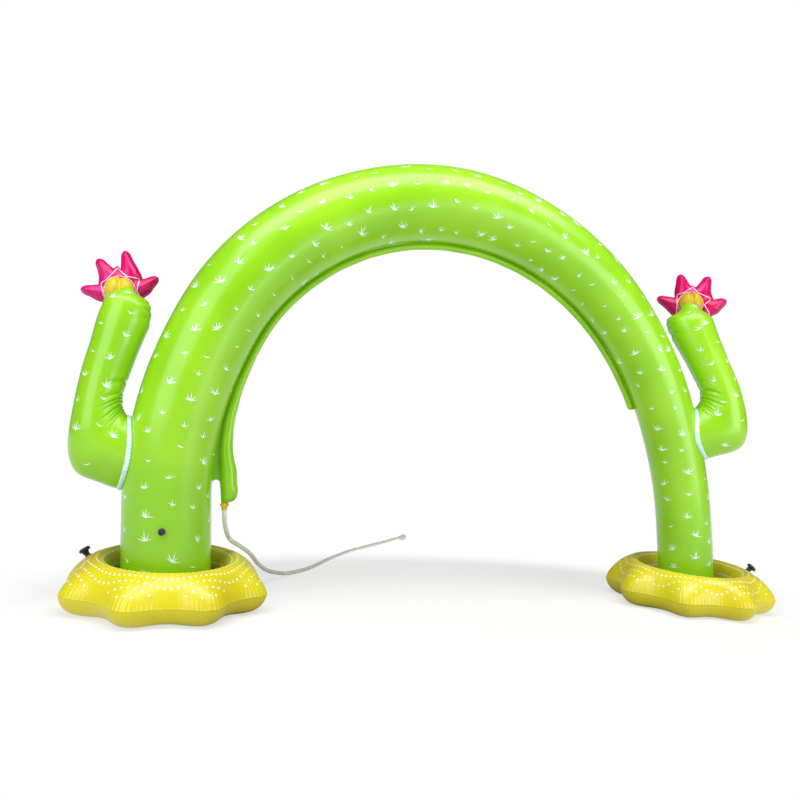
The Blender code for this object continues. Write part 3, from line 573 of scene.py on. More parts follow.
def archSkin(length, turn, lift=0.0):
    # Centre + (radius + relief + lift) (cos turn seam + sin turn side), at arrays of length and turn.
    length, turn = spreadOver(length, turn)
    centre, seam, side, radius = tubeFrame(length)
    heights, cuts = np.array(arch["footRounding"]).T
    fromFoot = np.minimum(length, tubeLength - length)
    size = radius + archRelief(length, turn, radius) + lift - smoothLookup(fromFoot, heights, cuts)
    outward = np.cos(turn)[..., None] * seam + np.sin(turn)[..., None] * side
    return centre + size[..., None] * outward


def addArch():
    ends, fine = np.array(arch["endRows"]), np.array(arch["seamColumns"])
    even = np.linspace(arch["firstEven"], tubeLength - arch["firstEven"], arch["stations"])
    lengths = np.concatenate([ends, even, (tubeLength - ends)[::-1]])
    turns = np.unique(np.concatenate([roundTurns(arch["sides"]), math.pi + fine, math.pi - fine]))
    grid = archSkin(lengths[:, None], turns)
    radius = tubeFrame(lengths)[3][:, None]
    measures = filmMeasures(lengths, onceRound(turns) * radius)
    mesh = skinMesh("archTube", grid, measures, poles=endMiddles(grid),
                    marks={"seam": np.abs(roundedAngle(turns - math.pi)) * radius})
    linkPiece("archTube", mesh, greenFilm, ["arch_tube"])


addArch()
print("arch tube inflated")


spray = {
    # length along the arch from the left foot, gap between the two tubes, the small tube's radius
    "table": ((0.366, 0.036, 0.0120), (0.371, 0.035, 0.0205), (0.383, 0.034, 0.0275), (0.405, 0.033, 0.0315),
              (0.453, 0.029, 0.0320), (0.505, 0.025, 0.0310), (0.580, 0.013, 0.0265), (0.690, 0.005, 0.0215),
              (0.820, 0.004, 0.0175), (0.960, 0.004, 0.0145), (1.150, 0.004, 0.0130)),
    "rightEnd": 0.940, "endRounding": ((0.0, 0.50), (0.002, 0.70), (0.006, 0.88), (0.016, 1.0)),
    "keelFrom": (0.74, 0.84), "keelWidth": 0.14, "keelSink": 0.0006, "sides": 44,
    # even rows up to a length, extra rows before the right end, extra columns beside the keel
    "lowRows": (0.42, 22), "highRows": (0.425, 0.022, 420),
    "endRows": (0.016, 0.012, 0.009, 0.006, 0.004, 0.002, 0.0),
    "keelColumns": (0.05, 0.09, 0.19, 0.24), "filmRadius": 0.02,
    "flapEnd": 0.86, "flapStart": 0.4545, "flapArch": 0.012, "flapThickness": 0.0014, "flapSink": 0.0015,
    "flapWave": 0.0018, "flapGrid": (15, 110), "twist": 0.0010, "twistFrom": (0.37, 0.45),
}


def sprayMeasures(length):
    table = np.array(spray["table"])
    ends, shares = np.array(spray["endRounding"]).T
    gap = smoothLookup(length, table[:, 0], table[:, 1])
    radius = smoothLookup(length, table[:, 0], table[:, 2])
    return gap, radius * np.interp(tubeLength - spray["rightEnd"] - length, ends, shares)


def spraySkin(length, angle, lift=0.0):
    # A circle that hangs below the arch's seam line, with a narrow keel welded to the arch. The keel is gap
    # exp(-(angle from the arch's side / width)^2), added to the radius.
    length, angle = spreadOver(length, angle)
    centre, seam, side, bigRadius = tubeFrame(length)
    gap, radius = sprayMeasures(length)
    keel = (gap + spray["keelSink"]) * smoothStep(*spray["keelFrom"], length)
    keel = keel * np.exp(-(roundedAngle(angle - math.pi) / spray["keelWidth"]) ** 2)
    ripple = spray["twist"] * np.sin(38 * length + 2 * np.sin(angle)) * np.sin(angle + 5 * length)
    ripple = ripple * smoothStep(*spray["twistFrom"], length) * radius / 0.03
    size = (radius + keel + ripple + lift)[..., None]
    middle = centre + (bigRadius + gap + radius)[..., None] * seam
    return middle + size * (np.cos(angle)[..., None] * seam + np.sin(angle)[..., None] * side)


def addSprayTube():
    start, end = spray["table"][0][0], tubeLength - spray["rightEnd"]
    (bend, lowCount), (first, shortOf, highCount) = spray["lowRows"], spray["highRows"]
    lengths = np.concatenate([np.linspace(start, bend, lowCount),
                              np.linspace(first, end - shortOf, highCount), end - np.array(spray["endRows"])])
    fine = np.array(spray["keelColumns"])
    angles = np.unique(np.concatenate([roundTurns(spray["sides"]), math.pi + fine, math.pi - fine]))
    grid = spraySkin(lengths[:, None], angles)
    measures = filmMeasures(lengths, onceRound(angles) * spray["filmRadius"])
    seam = np.abs(roundedAngle(angles - math.pi)) * sprayMeasures(lengths)[1][:, None]
    mesh = skinMesh("sprayTube", grid, measures, poles=endMiddles(grid), marks={"seam": seam})
    linkPiece("sprayTube", mesh, greenFilm, ["spray_strip"])


def addFlap():
    # It runs across the gap (u) and up the leg (v). Its lower edge is an arch, start + rise 4u(1 - u).
    across, up = np.meshgrid(*(np.linspace(0, 1, count) for count in spray["flapGrid"]), indexing="ij")
    low = spray["flapStart"] + spray["flapArch"] * 4 * across * (1 - across)
    length = low + (spray["flapEnd"] - low) * up
    centre, seam, side, bigRadius = tubeFrame(length)
    sink = spray["flapSink"]
    reach = bigRadius - sink + (sprayMeasures(length)[0] + 2 * sink) * across
    wave = spray["flapWave"] * np.sin(60 * length) * np.sin(math.pi * across) * (1 - up)
    grid = centre + reach[..., None] * seam + wave[..., None] * side
    flap = linkPiece("sprayFlap", patchMesh("sprayFlap", grid), greenFilm, ["spray_strip"])
    thicken(flap, spray["flapThickness"], 0.0)
    widest = float(np.linalg.norm(grid[1:] - grid[:-1], axis=-1).sum(0).max())
    longest = float(np.linalg.norm(grid[:, 1:] - grid[:, :-1], axis=-1).sum(1).max())
    cross = np.cross(grid[1:, 1:] - grid[:-1, :-1], grid[1:, :-1] - grid[:-1, 1:])


addSprayTube()
addFlap()


def addAdapter():
    length, gap, radius = spray["table"][0]
    centre, seam, side, bigRadius = (part[0] for part in tubeFrame(np.array([length])))
    end = centre + (bigRadius + gap + radius) * seam
    addTurned("hoseAdapter", fittings["adapterCup"], seatOn(end, -np.cross(seam, side)), adapterOrange,
              ["hose_adapter"], sides=96, ribs=16, ribDepth=0.0004,
              ribRows=(5, 6, 8, 9, 11))


addAdapter()
print("spray strip and adapter hung")


arms = {
    # inner edge (out from the arm's root, height), outer edge (out, height), half depth
    left: ((0.090, 0.662, 0.100, 0.418, 0.086), (0.150, 0.678, 0.175, 0.419, 0.092),
           (0.165, 0.690, 0.242, 0.439, 0.096), (0.172, 0.702, 0.302, 0.463, 0.097),
           (0.176, 0.714, 0.334, 0.502, 0.096), (0.178, 0.729, 0.348, 0.560, 0.094),
           (0.179, 0.746, 0.348, 0.630, 0.091), (0.177, 0.770, 0.343, 0.700, 0.088),
           (0.165, 0.825, 0.331, 0.795, 0.086), (0.146, 0.895, 0.317, 0.880, 0.086),
           (0.125, 0.965, 0.301, 0.955, 0.086), (0.109, 1.020, 0.288, 1.030, 0.087),
           (0.106, 1.070, 0.275, 1.085, 0.083), (0.119, 1.105, 0.263, 1.114, 0.070),
           (0.160, 1.130, 0.240, 1.131, 0.045), (0.176, 1.144, 0.216, 1.144, 0.024)),
    right: ((0.012, 0.858, 0.052, 0.648, 0.084), (0.074, 0.874, 0.135, 0.662, 0.090),
            (0.090, 0.888, 0.202, 0.684, 0.094), (0.100, 0.902, 0.268, 0.711, 0.094),
            (0.107, 0.917, 0.303, 0.746, 0.092), (0.110, 0.932, 0.313, 0.800, 0.090),
            (0.110, 0.950, 0.307, 0.870, 0.088), (0.103, 0.980, 0.292, 0.935, 0.088),
            (0.080, 1.027, 0.266, 1.010, 0.088), (0.047, 1.087, 0.234, 1.083, 0.089),
            (0.010, 1.149, 0.204, 1.150, 0.090), (-0.026, 1.207, 0.177, 1.215, 0.091),
            (-0.049, 1.256, 0.157, 1.270, 0.090), (-0.050, 1.294, 0.138, 1.309, 0.078),
            (-0.002, 1.332, 0.094, 1.341, 0.051), (0.012, 1.361, 0.067, 1.364, 0.029)),
    "tipRise": 0.005, "forwardTurn": 28.0, "roots": {left: -1.1438, right: 1.0333},
    # depth, first and last station, number for each station, how far from the inner edge they fade
    "creases": (0.0080, (2.4, 8.4), 1.45, (0.118, 0.030)),
    "puckers": (0.0048, (10.4, 14.6), 1.25, (0.052, 0.006)),
    "seamHeight": 0.0007, "seamWidth": 0.0026, "seamEnds": (16.0, 15.0), "sides": 96, "rows": 190,
    # extra columns beside the seams, the last row's place before the tip, the radius of the film's map
    "seamColumns": (-0.045, -0.02, 0.02, 0.045), "tipRow": 0.06, "filmRadius": 0.088,
    # lengths of the arch between which an arm may meet it, and how many; stations near the root, and those
    # whose back may press on the flower
    "nearArch": (0.15, 1.60, 260), "rootStations": (0, 8, 220), "backStations": (8, 15.97, 140),
}


def armPlane(side):
    # Root point, outward direction and backward direction of the upright plane that an arm lies in.
    turn = math.radians(arms["forwardTurn"]) if side == right else 0.0
    root = np.array([arms["roots"][side], 0, 0])
    out = np.array([side * math.cos(turn), -math.sin(turn), 0])
    back = np.array([math.sin(turn) * side, math.cos(turn), 0])
    return root, out, back


def armRelief(side, station, angle, halfWidth):
    # Folds that the film makes where it is short: depth |cos(pi n station)|^8, n being their number. They
    # fade with the way from the arm's inner edge, halfWidth (1 - cos angle). Creases fan out of the elbow
    # over both faces. Puckers stay by the seam under the tip.
    away = halfWidth * (1 - np.cos(angle))
    height = 0.0012 * np.sin(1.7 * station + np.sin(angle)) * np.cos(2 * angle + 0.8 * station)
    for kind, bend in (("creases", 0.35), ("puckers", 0.20)):
        depth, (low, high), number, (far, near) = arms[kind]
        window = smoothStep(low, low + 0.9, station) * (1 - smoothStep(high - 1.1, high, station))
        uneven = 0.72 + 0.28 * np.sin(4.4 * station + 1.0 + side)
        reach = far * (0.80 + 0.20 * np.sin(5.7 * station + side))
        phase = math.pi * number * station + bend * np.sin(2 * angle) + 0.5 * np.sin(3.1 * station)
        height = height - depth * window * uneven * smoothStep(reach, near, away) * np.abs(np.cos(phase)) ** 8
    return height


def armSection(side, station):
    # Middle, unit reach to the inner edge, half width and half depth of a section, in the arm's plane.
    # Beyond the last row the section shrinks as cos q and rises as sin q, which rounds the tip.
    last = len(arms[side]) - 1
    row = throughRows(arms[side], np.minimum(station, last))
    middle = np.stack([(row[..., 0] + row[..., 2]) / 2, (row[..., 1] + row[..., 3]) / 2], -1)
    reach = np.stack([row[..., 0] - row[..., 2], row[..., 1] - row[..., 3]], -1) / 2
    halfWidth = np.linalg.norm(reach, axis=-1)
    beyond = np.clip(station - last, 0, 1) * math.pi / 2
    middle = middle + np.stack([0 * beyond, arms["tipRise"] * np.sin(beyond)], -1)
    return middle, reach / halfWidth[..., None], halfWidth * np.cos(beyond), row[..., 4] * np.cos(beyond)


def armSkin(side, station, angle, lift=0.0):
    # An oval in the arm's plane and across it. Angle 0 is the inner edge and 90 degrees the back.
    station, angle = spreadOver(station, angle)
    middle, reach, halfWidth, halfDepth = armSection(side, station)
    ridge = arms["seamHeight"] * sum(np.exp(-(roundedAngle(angle - at) * halfDepth / arms["seamWidth"]) ** 2)
                                     for at in (0, math.pi)) * smoothStep(*arms["seamEnds"], station)
    proud = lift + armRelief(side, station, angle, halfWidth) + ridge
    flat = middle + reach * ((halfWidth + proud) * np.cos(angle))[..., None]
    root, out, back = armPlane(side)
    behind = (halfDepth + proud) * np.sin(angle)
    upward = np.array([0, 0, 1.0])
    return root + flat[..., :1] * out + flat[..., 1:] * upward + behind[..., None] * back


def aboveArch(points, side):
    # Distance of an array of points from the arch tube's plain skin.
    lengths = np.linspace(*arms["nearArch"])
    centre, _, _, radius = tubeFrame(lengths if side == left else tubeLength - lengths)
    gaps = np.linalg.norm(points.reshape(-1, 1, 3) - centre, axis=-1) - radius
    return gaps.min(1).reshape(points.shape[:-1])


def stationsAbove(side, angles, heights):
    # For every angle, the stations at which the arm's skin first stands each height above the arch.
    stations = np.linspace(*arms["rootStations"])
    grid = aboveArch(armSkin(side, stations[:, None], angles[None]), side)
    columns, found = np.arange(len(angles)), []
    for height in heights:
        first = np.clip(np.argmax(grid > height, axis=0), 1, None)
        before, after = grid[first - 1, columns], grid[first, columns]
        share = np.clip((height - before) / np.maximum(after - before, 1e-9), 0, 1)
        found.append(stations[first - 1] + share * (stations[1] - stations[0]))
    return np.array(found)


def addArm(side):
    fine, last = np.array(arms["seamColumns"]), len(arms[side])
    angles = np.unique(np.concatenate([roundTurns(arms["sides"]), fine % (2 * math.pi), math.pi + fine]))
    start = stationsAbove(side, angles, [skinGap])[0]
    station = start + (last - start) * np.linspace(0, 1, arms["rows"])[:, None]
    station[-1] = last - arms["tipRow"]
    grid = armSkin(side, station, angles)
    step = np.linalg.norm(np.diff(grid, axis=0), axis=-1)
    run = np.concatenate([np.zeros((1, len(angles))), np.cumsum(step, 0)]).mean(1)
    measures = filmMeasures(run, onceRound(angles) * arms["filmRadius"])
    seam = np.minimum(*(np.abs(roundedAngle(angles - at)) for at in (0, math.pi))) * arms["filmRadius"]
    tip = armSkin(side, float(last), 0.0)
    mesh = skinMesh(sided("arm", side), grid, measures, poles=(grid[0].mean(0), tip), marks={"seam": seam})
    piece = linkPiece(sided("arm", side), mesh, greenFilm, ["arm_" + sideWord[side]])


collars = {"width": 0.016, "wall": 0.0034, "crimps": 64, "crimpDepth": 0.0008, "columns": 320,
           "rounding": 0.8, "across": (0.0, 0.06, 0.2, 0.35, 0.5, 0.65, 0.8, 0.94, 1.0)}


def addCollar(side):
    # A strip round the arm's root. Across it (u) the outer face stands wall (1 - rounding (2u - 1)^6) proud.
    angles, across = roundTurns(collars["columns"]), np.array(collars["across"])
    station = stationsAbove(side, angles, across * collars["width"] + skinGap)
    crimp = 1 + collars["crimpDepth"] / collars["wall"] * np.cos(collars["crimps"] * angles
                                                                 + 2 * np.sin(2 * angles))
    proud = collars["wall"] * (1 - collars["rounding"] * np.abs(2 * across - 1) ** 6)[:, None] * crimp
    outer, inner = armSkin(side, station, angles, proud), armSkin(side, station, angles, skinGap)
    mesh = skinMesh(sided("collar", side), np.vstack([outer, inner[::-1]]), ring=True)
    linkPiece(sided("collar", side), mesh, weldStrip, ["collar_" + sideWord[side]])


for side in (left, right):
    addArm(side)
    addCollar(side)
print("arms and weld strips made")


flowers = {
    # direction of the valley before the petal, direction of its tip, the tip's distance
    left: ((-22.6, 23.6, 0.135), (33.5, 90.2, 0.140), (106.2, 133.7, 0.134), (175.2, 188.5, 0.142),
           (228.4, 255.0, 0.132), (283.0, 309.0, 0.132)),
    right: ((-28.3, 12.0, 0.150), (22.0, 64.8, 0.155), (93.7, 112.7, 0.159), (145.9, 168.0, 0.160),
            (213.9, 243.0, 0.145), (272.8, 302.0, 0.145)),
    "valleyRadius": {left: 0.081, right: 0.096},
    # share of the way from a petal's root to its tip, half width as a share of the valley radius
    "petalShape": ((0.16, 0.36), (0.50, 0.25), (0.85, 0.16)),
    "rootShare": 0.82, "halfDepth": 0.033, "fullAt": 0.052, "seam": 0.0010,
    "flange": 0.0030, "flangeHalf": 0.0006, "offArm": 0.0012,
    "puckerDepth": 0.0011, "puckerPitch": 0.0085, "puckerReach": 0.010, "puckerFrom": 0.004,
    # steps between two corners, start and number of a face's rows, the flange's place on the film's map, and
    # how near to a section of the arm a point lies that the arm covers
    "cornerSteps": 7, "faceRows": (0.03, 26), "flangeShare": 1.02, "armTouch": 0.006,
    # out from the arm's root, height, behind the arm's plane
    "places": {left: (0.225, 1.163, 0.104), right: (0.073, 1.379, 0.104)},
}


def starOutline(side):
    rows, valley, points = flowers[side], flowers["valleyRadius"][side], []
    for row, following in zip(rows, rows[1:] + rows[:1]):
        start, end, tip = (distance * onCircle(math.radians(degrees)) for degrees, distance in (
            (row[0], valley), (following[0], valley), row[1:]))
        root = (start + end) / 2
        along = tip - root
        across = np.array([-along[1], along[0]]) / np.linalg.norm(along)
        widest = flowers["rootShare"] * np.linalg.norm(end - start) / 2
        edge = [(share * along, min(half * valley, widest) * across) for share, half in flowers["petalShape"]]
        points += [start, *[root + forward - aside for forward, aside in edge], tip,
                   *[root + forward + aside for forward, aside in reversed(edge)]]
    return np.array(points)


def smoothOutline(side):
    # The star's corners joined by one closed Catmull-Rom curve.
    corners = starOutline(side)
    wrapped = np.vstack([corners[-2:], corners, corners[:3]])
    steps = flowers["cornerSteps"]
    return throughRows(wrapped, 2 + np.arange(len(corners) * steps) / steps)


outlines = {side: smoothOutline(side) for side in (left, right)}


def fromOutline(side, flat):
    # Distance of an array of flat points from the star's outline.
    start = outlines[side]
    run = np.roll(start, -1, 0) - start
    points = flat.reshape(-1, 1, 2)
    share = np.clip(((points - start) * run).sum(-1) / (run ** 2).sum(-1), 0, 1)
    gaps = np.linalg.norm(points - start - share[..., None] * run, axis=-1)
    return gaps.min(1).reshape(flat.shape[:-1])


def pillowDepth(side, flat):
    # Half thickness of the star: halfDepth sqrt(1 - (1 - d / fullAt)^2), d being the way to the outline.
    near = np.clip(fromOutline(side, flat) / flowers["fullAt"], 0, 1)
    return flowers["seam"] + (flowers["halfDepth"] - flowers["seam"]) * np.sqrt(1 - (1 - near) ** 2)


def flowerPoint(side, flat, forward):
    # From the star's own right, up and forward to metres in the frame.
    root, out, back = armPlane(side)
    outDistance, height, behind = flowers["places"][side]
    facing = -back
    across = np.cross([0, 0, 1], facing)
    origin = root + outDistance * out + behind * back + np.array([0, 0, height])
    upward = np.array([0, 0, 1.0])
    return origin + flat[..., :1] * across + flat[..., 1:] * upward + forward[..., None] * facing


def armBackBehind(side, flat):
    # How far forward of the star's plane the arm's back skin lies, at flat points. Far where it has none.
    out, back = armPlane(side)[1:]
    outDistance, height, behind = flowers["places"][side]
    across = np.cross([0, 0, 1], -back)
    sign = float(across @ out)
    spot = np.stack([outDistance + sign * flat[..., 0], height + flat[..., 1]], -1).reshape(-1, 1, 2)
    stations = np.linspace(*arms["backStations"])
    middle, reach, halfWidth, halfDepth = armSection(side, stations)
    rise = np.stack([-reach[:, 1], reach[:, 0]], -1)
    offset = ((spot - middle) * rise).sum(-1)
    nearest = np.argmin(np.abs(offset), axis=1)
    spots = np.arange(len(spot))
    inner = ((spot - middle) * reach).sum(-1)[spots, nearest] / halfWidth[nearest]
    covered = (np.abs(inner) < 1) & (np.abs(offset[spots, nearest]) < flowers["armTouch"])
    depth = halfDepth[nearest] * np.sqrt(np.clip(1 - inner ** 2, 0, 1))
    return np.where(covered, behind - depth - flowers["offArm"], 1.0).reshape(flat.shape[:-1])


def addFlower(side):
    # Each face is the outline shrunk towards the middle, as sin(row 90 degrees), and stands at the pillow's
    # depth with puckers across its edge. A flat flange joins the two faces outside the outline.
    outline = outlines[side]
    run = runAlong(np.vstack([outline, outline[:1]]))
    aheadX, aheadY = (np.gradient(np.append(column, column[0]))[:-1] for column in outline.T)
    outward = unit(np.stack([aheadY, -aheadX], -1))
    innermost, rowCount = flowers["faceRows"]
    shares = np.sin(np.linspace(innermost, 1, rowCount) * math.pi / 2)
    faceFlat = shares[:, None, None] * outline
    away, depth = fromOutline(side, faceFlat), pillowDepth(side, faceFlat)
    pucker = np.exp(-(away / flowers["puckerReach"]) ** 1.4) * smoothStep(0, flowers["puckerFrom"], away)
    pucker = pucker * flowers["puckerDepth"] * np.cos(2 * math.pi * run[:-1] / flowers["puckerPitch"])
    front, rear = np.minimum(depth + pucker, armBackBehind(side, faceFlat)), -(depth + pucker)
    flangeFlat = (outline + flowers["flange"] * outward)[None]
    flangeHalf = np.full((1, len(outline)), flowers["flangeHalf"])
    flat = np.concatenate([faceFlat, flangeFlat, flangeFlat, faceFlat[::-1]])
    grid = flowerPoint(side, flat, np.concatenate([rear, -flangeHalf, flangeHalf, front[::-1]]))
    widths = np.concatenate([shares, [flowers["flangeShare"]] * 2, shares[::-1]])
    measures = filmMeasures(widths, run)[..., ::-1]
    seam = np.concatenate([away, 0 * flangeHalf, 0 * flangeHalf, away[::-1]])
    poles = [flowerPoint(side, np.zeros((1, 2)), face[0].mean(keepdims=True))[0] for face in (rear, front)]
    mesh = skinMesh(sided("flower", side), grid, measures, poles=poles, marks={"seam": seam})
    piece = linkPiece(sided("flower", side), mesh, magentaFilm, ["flower_" + sideWord[side]])


centres = {"halfWidth": 0.052, "halfDepth": 0.040, "cleft": 0.010, "cleftWidth": 0.20, "rimFold": 0.0012,
           "rimFolds": 26, "rimReach": 0.30, "offStar": 0.0006, "columns": 120, "rows": 50,
           "places": {left: (-0.004, -0.016, 0.046), right: (-0.013, 0.005, 0.046)}}


def addCentre(side):
    # A pillow like a flattened ball, (W sin p cos t, W sin p sin t, D cos p), with a cleft down its front.
    # Its front is pressed in by the arm and its rear by the star.
    turn, fall = roundTurns(centres["columns"]), np.linspace(0, math.pi, centres["rows"])[1:-1, None]
    x, y, z = np.sin(fall) * np.cos(turn), np.sin(fall) * np.sin(turn), np.cos(fall) + 0 * turn
    cleft = centres["cleft"] * np.exp(-(x / centres["cleftWidth"]) ** 2) * np.clip(z + 0.6 * y, 0, None)
    fold = centres["rimFold"] * np.cos(centres["rimFolds"] * turn) * np.exp(-(z / centres["rimReach"]) ** 2)
    size = centres["halfWidth"] - cleft + fold
    across, up, forward = centres["places"][side]
    flat = np.stack([across + x * (centres["halfWidth"] + fold), up + y * size], -1)
    depth = np.minimum(forward + z * centres["halfDepth"] - cleft, armBackBehind(side, flat))
    depth = np.maximum(depth, pillowDepth(side, flat) + centres["offStar"])
    grid = flowerPoint(side, flat, depth)
    mesh = skinMesh(sided("flowerCentre", side), grid, poles=endMiddles(grid))
    piece = linkPiece(sided("flowerCentre", side), mesh, mustardFilm,
                      ["flower_centre_" + sideWord[side]])


for side in (left, right):
    addFlower(side)
    addCentre(side)
print("flowers made")


rings = {
    "radii": {left: 0.373, right: 0.358}, "lobes": 8, "lobeDepth": 0.048, "lobeSharpness": 1.3,
    "height": 0.177, "rearRise": 0.010, "seamHeight": 0.068, "contactInset": 0.075, "contactLobeDepth": 0.004,
    "crestRadius": 0.250, "holeRadius": 0.200, "holeSideHeight": 0.075,
    # 1 is an ellipse, more is nearer to a straight slope
    "slopeFullness": 1.40, "undersideFullness": 1.00, "holeFullness": 0.85,
    "phase": {left: 25.0, right: 6.0}, "panel": 0.003, "panelLap": 0.028,
    "columns": 768, "crimpsPerLobe": 20, "crimpDepth": 0.0011, "crimpReach": 30.0, "seamRidge": 0.0012,
    "ridgeReach": 2.4, "boreRipple": 0.0007, "boreRipples": 64, "boreMiddle": 175, "boreReach": 28,
    "panelGap": 0.0016, "panelEdge": 0.02,
    # first place, last place and number of rows, from underneath over the seam and the crest into the hole
    "rows": ((-90, -86, 2), (-80, -22, 9), (-18, -6, 5), (-3.5, -3.5, 1), (-2, 2, 5), (3.5, 3.5, 1),
             (6, 18, 5), (22, 88, 15), (92, 215, 20)),
    # the film map's metres for a radian round the ring and for a degree of the section
    "filmRadius": 0.36, "filmDegree": 0.0019,
}


def ringSection(side, angle, place):
    # Radius and height of a ring's skin: place 90 is the crest, 0 the seam, -90 underneath, 180 in the hole.
    # |cos|^fullness of the place goes across and |sin|^fullness up, between the crest and the side's own end.
    def pick(hole, slope, underside):
        return np.where(place > 90, hole, np.where(place >= 0, slope, underside))

    wave = 0.5 + 0.5 * np.cos(rings["lobes"] * (angle - math.radians(rings["phase"][side])))
    lobe = wave ** rings["lobeSharpness"]
    outer = rings["radii"][side] - rings["lobeDepth"] * (1 - lobe)
    contact = outer - rings["contactInset"] - rings["contactLobeDepth"] * (1 - lobe)
    crest = rings["height"] + rings["rearRise"] * np.sin(angle)
    turn = np.radians(place)
    fullness = pick(*(rings[part + "Fullness"] for part in ("hole", "slope", "underside")))
    across, up = (np.sign(part) * np.abs(part) ** fullness for part in (np.cos(turn), np.sin(turn)))
    crestRadius, seam, hole = rings["crestRadius"], rings["seamHeight"], rings["holeSideHeight"]
    radius = pick(crestRadius + (crestRadius - rings["holeRadius"]) * across,
                  crestRadius + (outer - crestRadius) * across, contact + (outer - contact) * across)
    return radius, pick(hole + (crest - hole) * up, seam + (crest - seam) * up, seam * (1 + up)), lobe


def ringRelief(side, angle, place, lobe):
    # The weld's ridge at place 0, crimps across it that are strongest on the lobes' noses, and a ripple in
    # the hole.
    drift = 1.2 * np.sin(5 * angle) + 0.7 * np.sin(13 * angle + side)
    crimp = np.cos(rings["lobes"] * rings["crimpsPerLobe"] * angle + drift)
    crimp = crimp * np.exp(-(place / rings["crimpReach"]) ** 2) * (0.25 + 0.75 * lobe)
    ridge = rings["seamRidge"] * np.exp(-(place / rings["ridgeReach"]) ** 2)
    ripple = np.cos(rings["boreRipples"] * angle + 2 * np.sin(7 * angle))
    ripple = ripple * np.exp(-((place - rings["boreMiddle"]) / rings["boreReach"]) ** 2)
    return rings["crimpDepth"] * crimp + ridge + rings["boreRipple"] * ripple


def ringMiddle(side):
    return arch["feetMiddle"] + side * arch["footSpan"] / 2


def aroundRing(side, angle, radius, height):
    return np.stack([ringMiddle(side) + radius * np.cos(angle), radius * np.sin(angle),
                     height + 0 * angle], -1)


def ringSkin(side, angle, place, lift=0.0):
    # The section's point, moved along the section's own outward normal by lift and relief. The row that
    # touches the floor isn't moved.
    angle, place = spreadOver(angle, place)
    radius, height, lobe = ringSection(side, angle, place)
    ahead, behind = ringSection(side, angle, place + 0.4), ringSection(side, angle, place - 0.4)
    normal = unit(np.stack([ahead[1] - behind[1], behind[0] - ahead[0]], -1))
    proud = np.where(np.abs(place + 90) < 0.5, 0.0, lift + ringRelief(side, angle, place, lobe))
    return aroundRing(side, angle, radius + proud * normal[..., 0],
                      np.maximum(height + proud * normal[..., 1], 0.0))


def addRing(side):
    places = np.concatenate([np.linspace(*row) for row in rings["rows"]])
    angle = roundTurns(rings["columns"])
    grid = ringSkin(side, angle[:, None], places)
    foot = arch["table"][0 if side == left else -1][1] - arch["footRounding"][0][1] + rings["panelGap"]
    lap, wall = rings["holeRadius"] + rings["panelLap"], rings["panel"]
    under, *panel = (aroundRing(side, angle, radius, height)[:, None] for radius, height in (
        (foot, 0.0), (lap, wall), (foot + rings["panelEdge"], wall), (foot, wall)))
    grid = np.concatenate([under, grid, *panel], 1)
    seam = np.full(grid.shape[:2], 0.05)      # far enough from the weld to bear no rib
    seam[:, 1:1 + len(places)] = np.abs(places) * rings["filmDegree"]
    step = runAlong(grid[0])
    measures = filmMeasures(onceRound(angle) * rings["filmRadius"],
                            np.append(step, step[-1] + rings["panel"]))
    mesh = skinMesh(sided("base", side), grid, measures, ring=True, marks={"seam": seam})
    piece = linkPiece(sided("base", side), mesh, yellowFilm, ["base_" + sideWord[side]])


for side in (left, right):
    addRing(side)
print("base rings made")


# Rows of distance from the skin and radius, then where each valve stands.
valves = {
    "legBody": ((0, 0.0110), (0.0002, 0.0122), (0.0009, 0.0125), (0.0018, 0.0122), (0.0024, 0.0112),
                (0.0030, 0.0096), (0.0036, 0.0088), (0.0048, 0.0084), (0.0100, 0.0080), (0.0104, 0.0084),
                (0.0112, 0.0086), (0.0118, 0.0084), (0.0120, 0.0078)),
    "legCap": ((0, 0.0082), (0.0002, 0.0094), (0.0010, 0.0099), (0.0020, 0.0102), (0.0066, 0.0101),
               (0.0078, 0.0098), (0.0088, 0.0088), (0.0094, 0.0074), (0.0092, 0.0057), (0.0084, 0.0046)),
    "ringBody": ((0, 0.0105), (0.0002, 0.0116), (0.0009, 0.0120), (0.0018, 0.0117), (0.0024, 0.0106),
                 (0.0032, 0.0090), (0.0045, 0.0085), (0.0125, 0.0092), (0.0140, 0.0096), (0.0180, 0.0117),
                 (0.0190, 0.0127), (0.0196, 0.0129), (0.0200, 0.0124)),
    "ringCap": ((0, 0.0165), (0.0002, 0.0184), (0.0010, 0.0198), (0.0022, 0.0205), (0.0084, 0.0202),
                (0.0098, 0.0196), (0.0114, 0.0176), (0.0126, 0.0146), (0.0124, 0.0118), (0.0112, 0.0100)),
    # height on the left leg, and the turn from the seam as a share of the way round
    "legHeight": 0.291, "legTurn": 17 / 23,
    # degrees round the ring, place on the section
    "ringPlaces": {left: (160.0, 54.0), right: (-19.71, 70.0)},
    # the strap's width, thickness and how far it stands out, for a leg's and a ring's valve, its rows and
    # columns, and how far its ends are let into the flange and the cap
    "strap": {"leg": (0.0038, 0.0011, 0.0034), "ring": (0.0060, 0.0014, 0.0080)}, "strapFullness": 0.4,
    "strapGrid": (26, 16), "strapInset": 0.001,
}


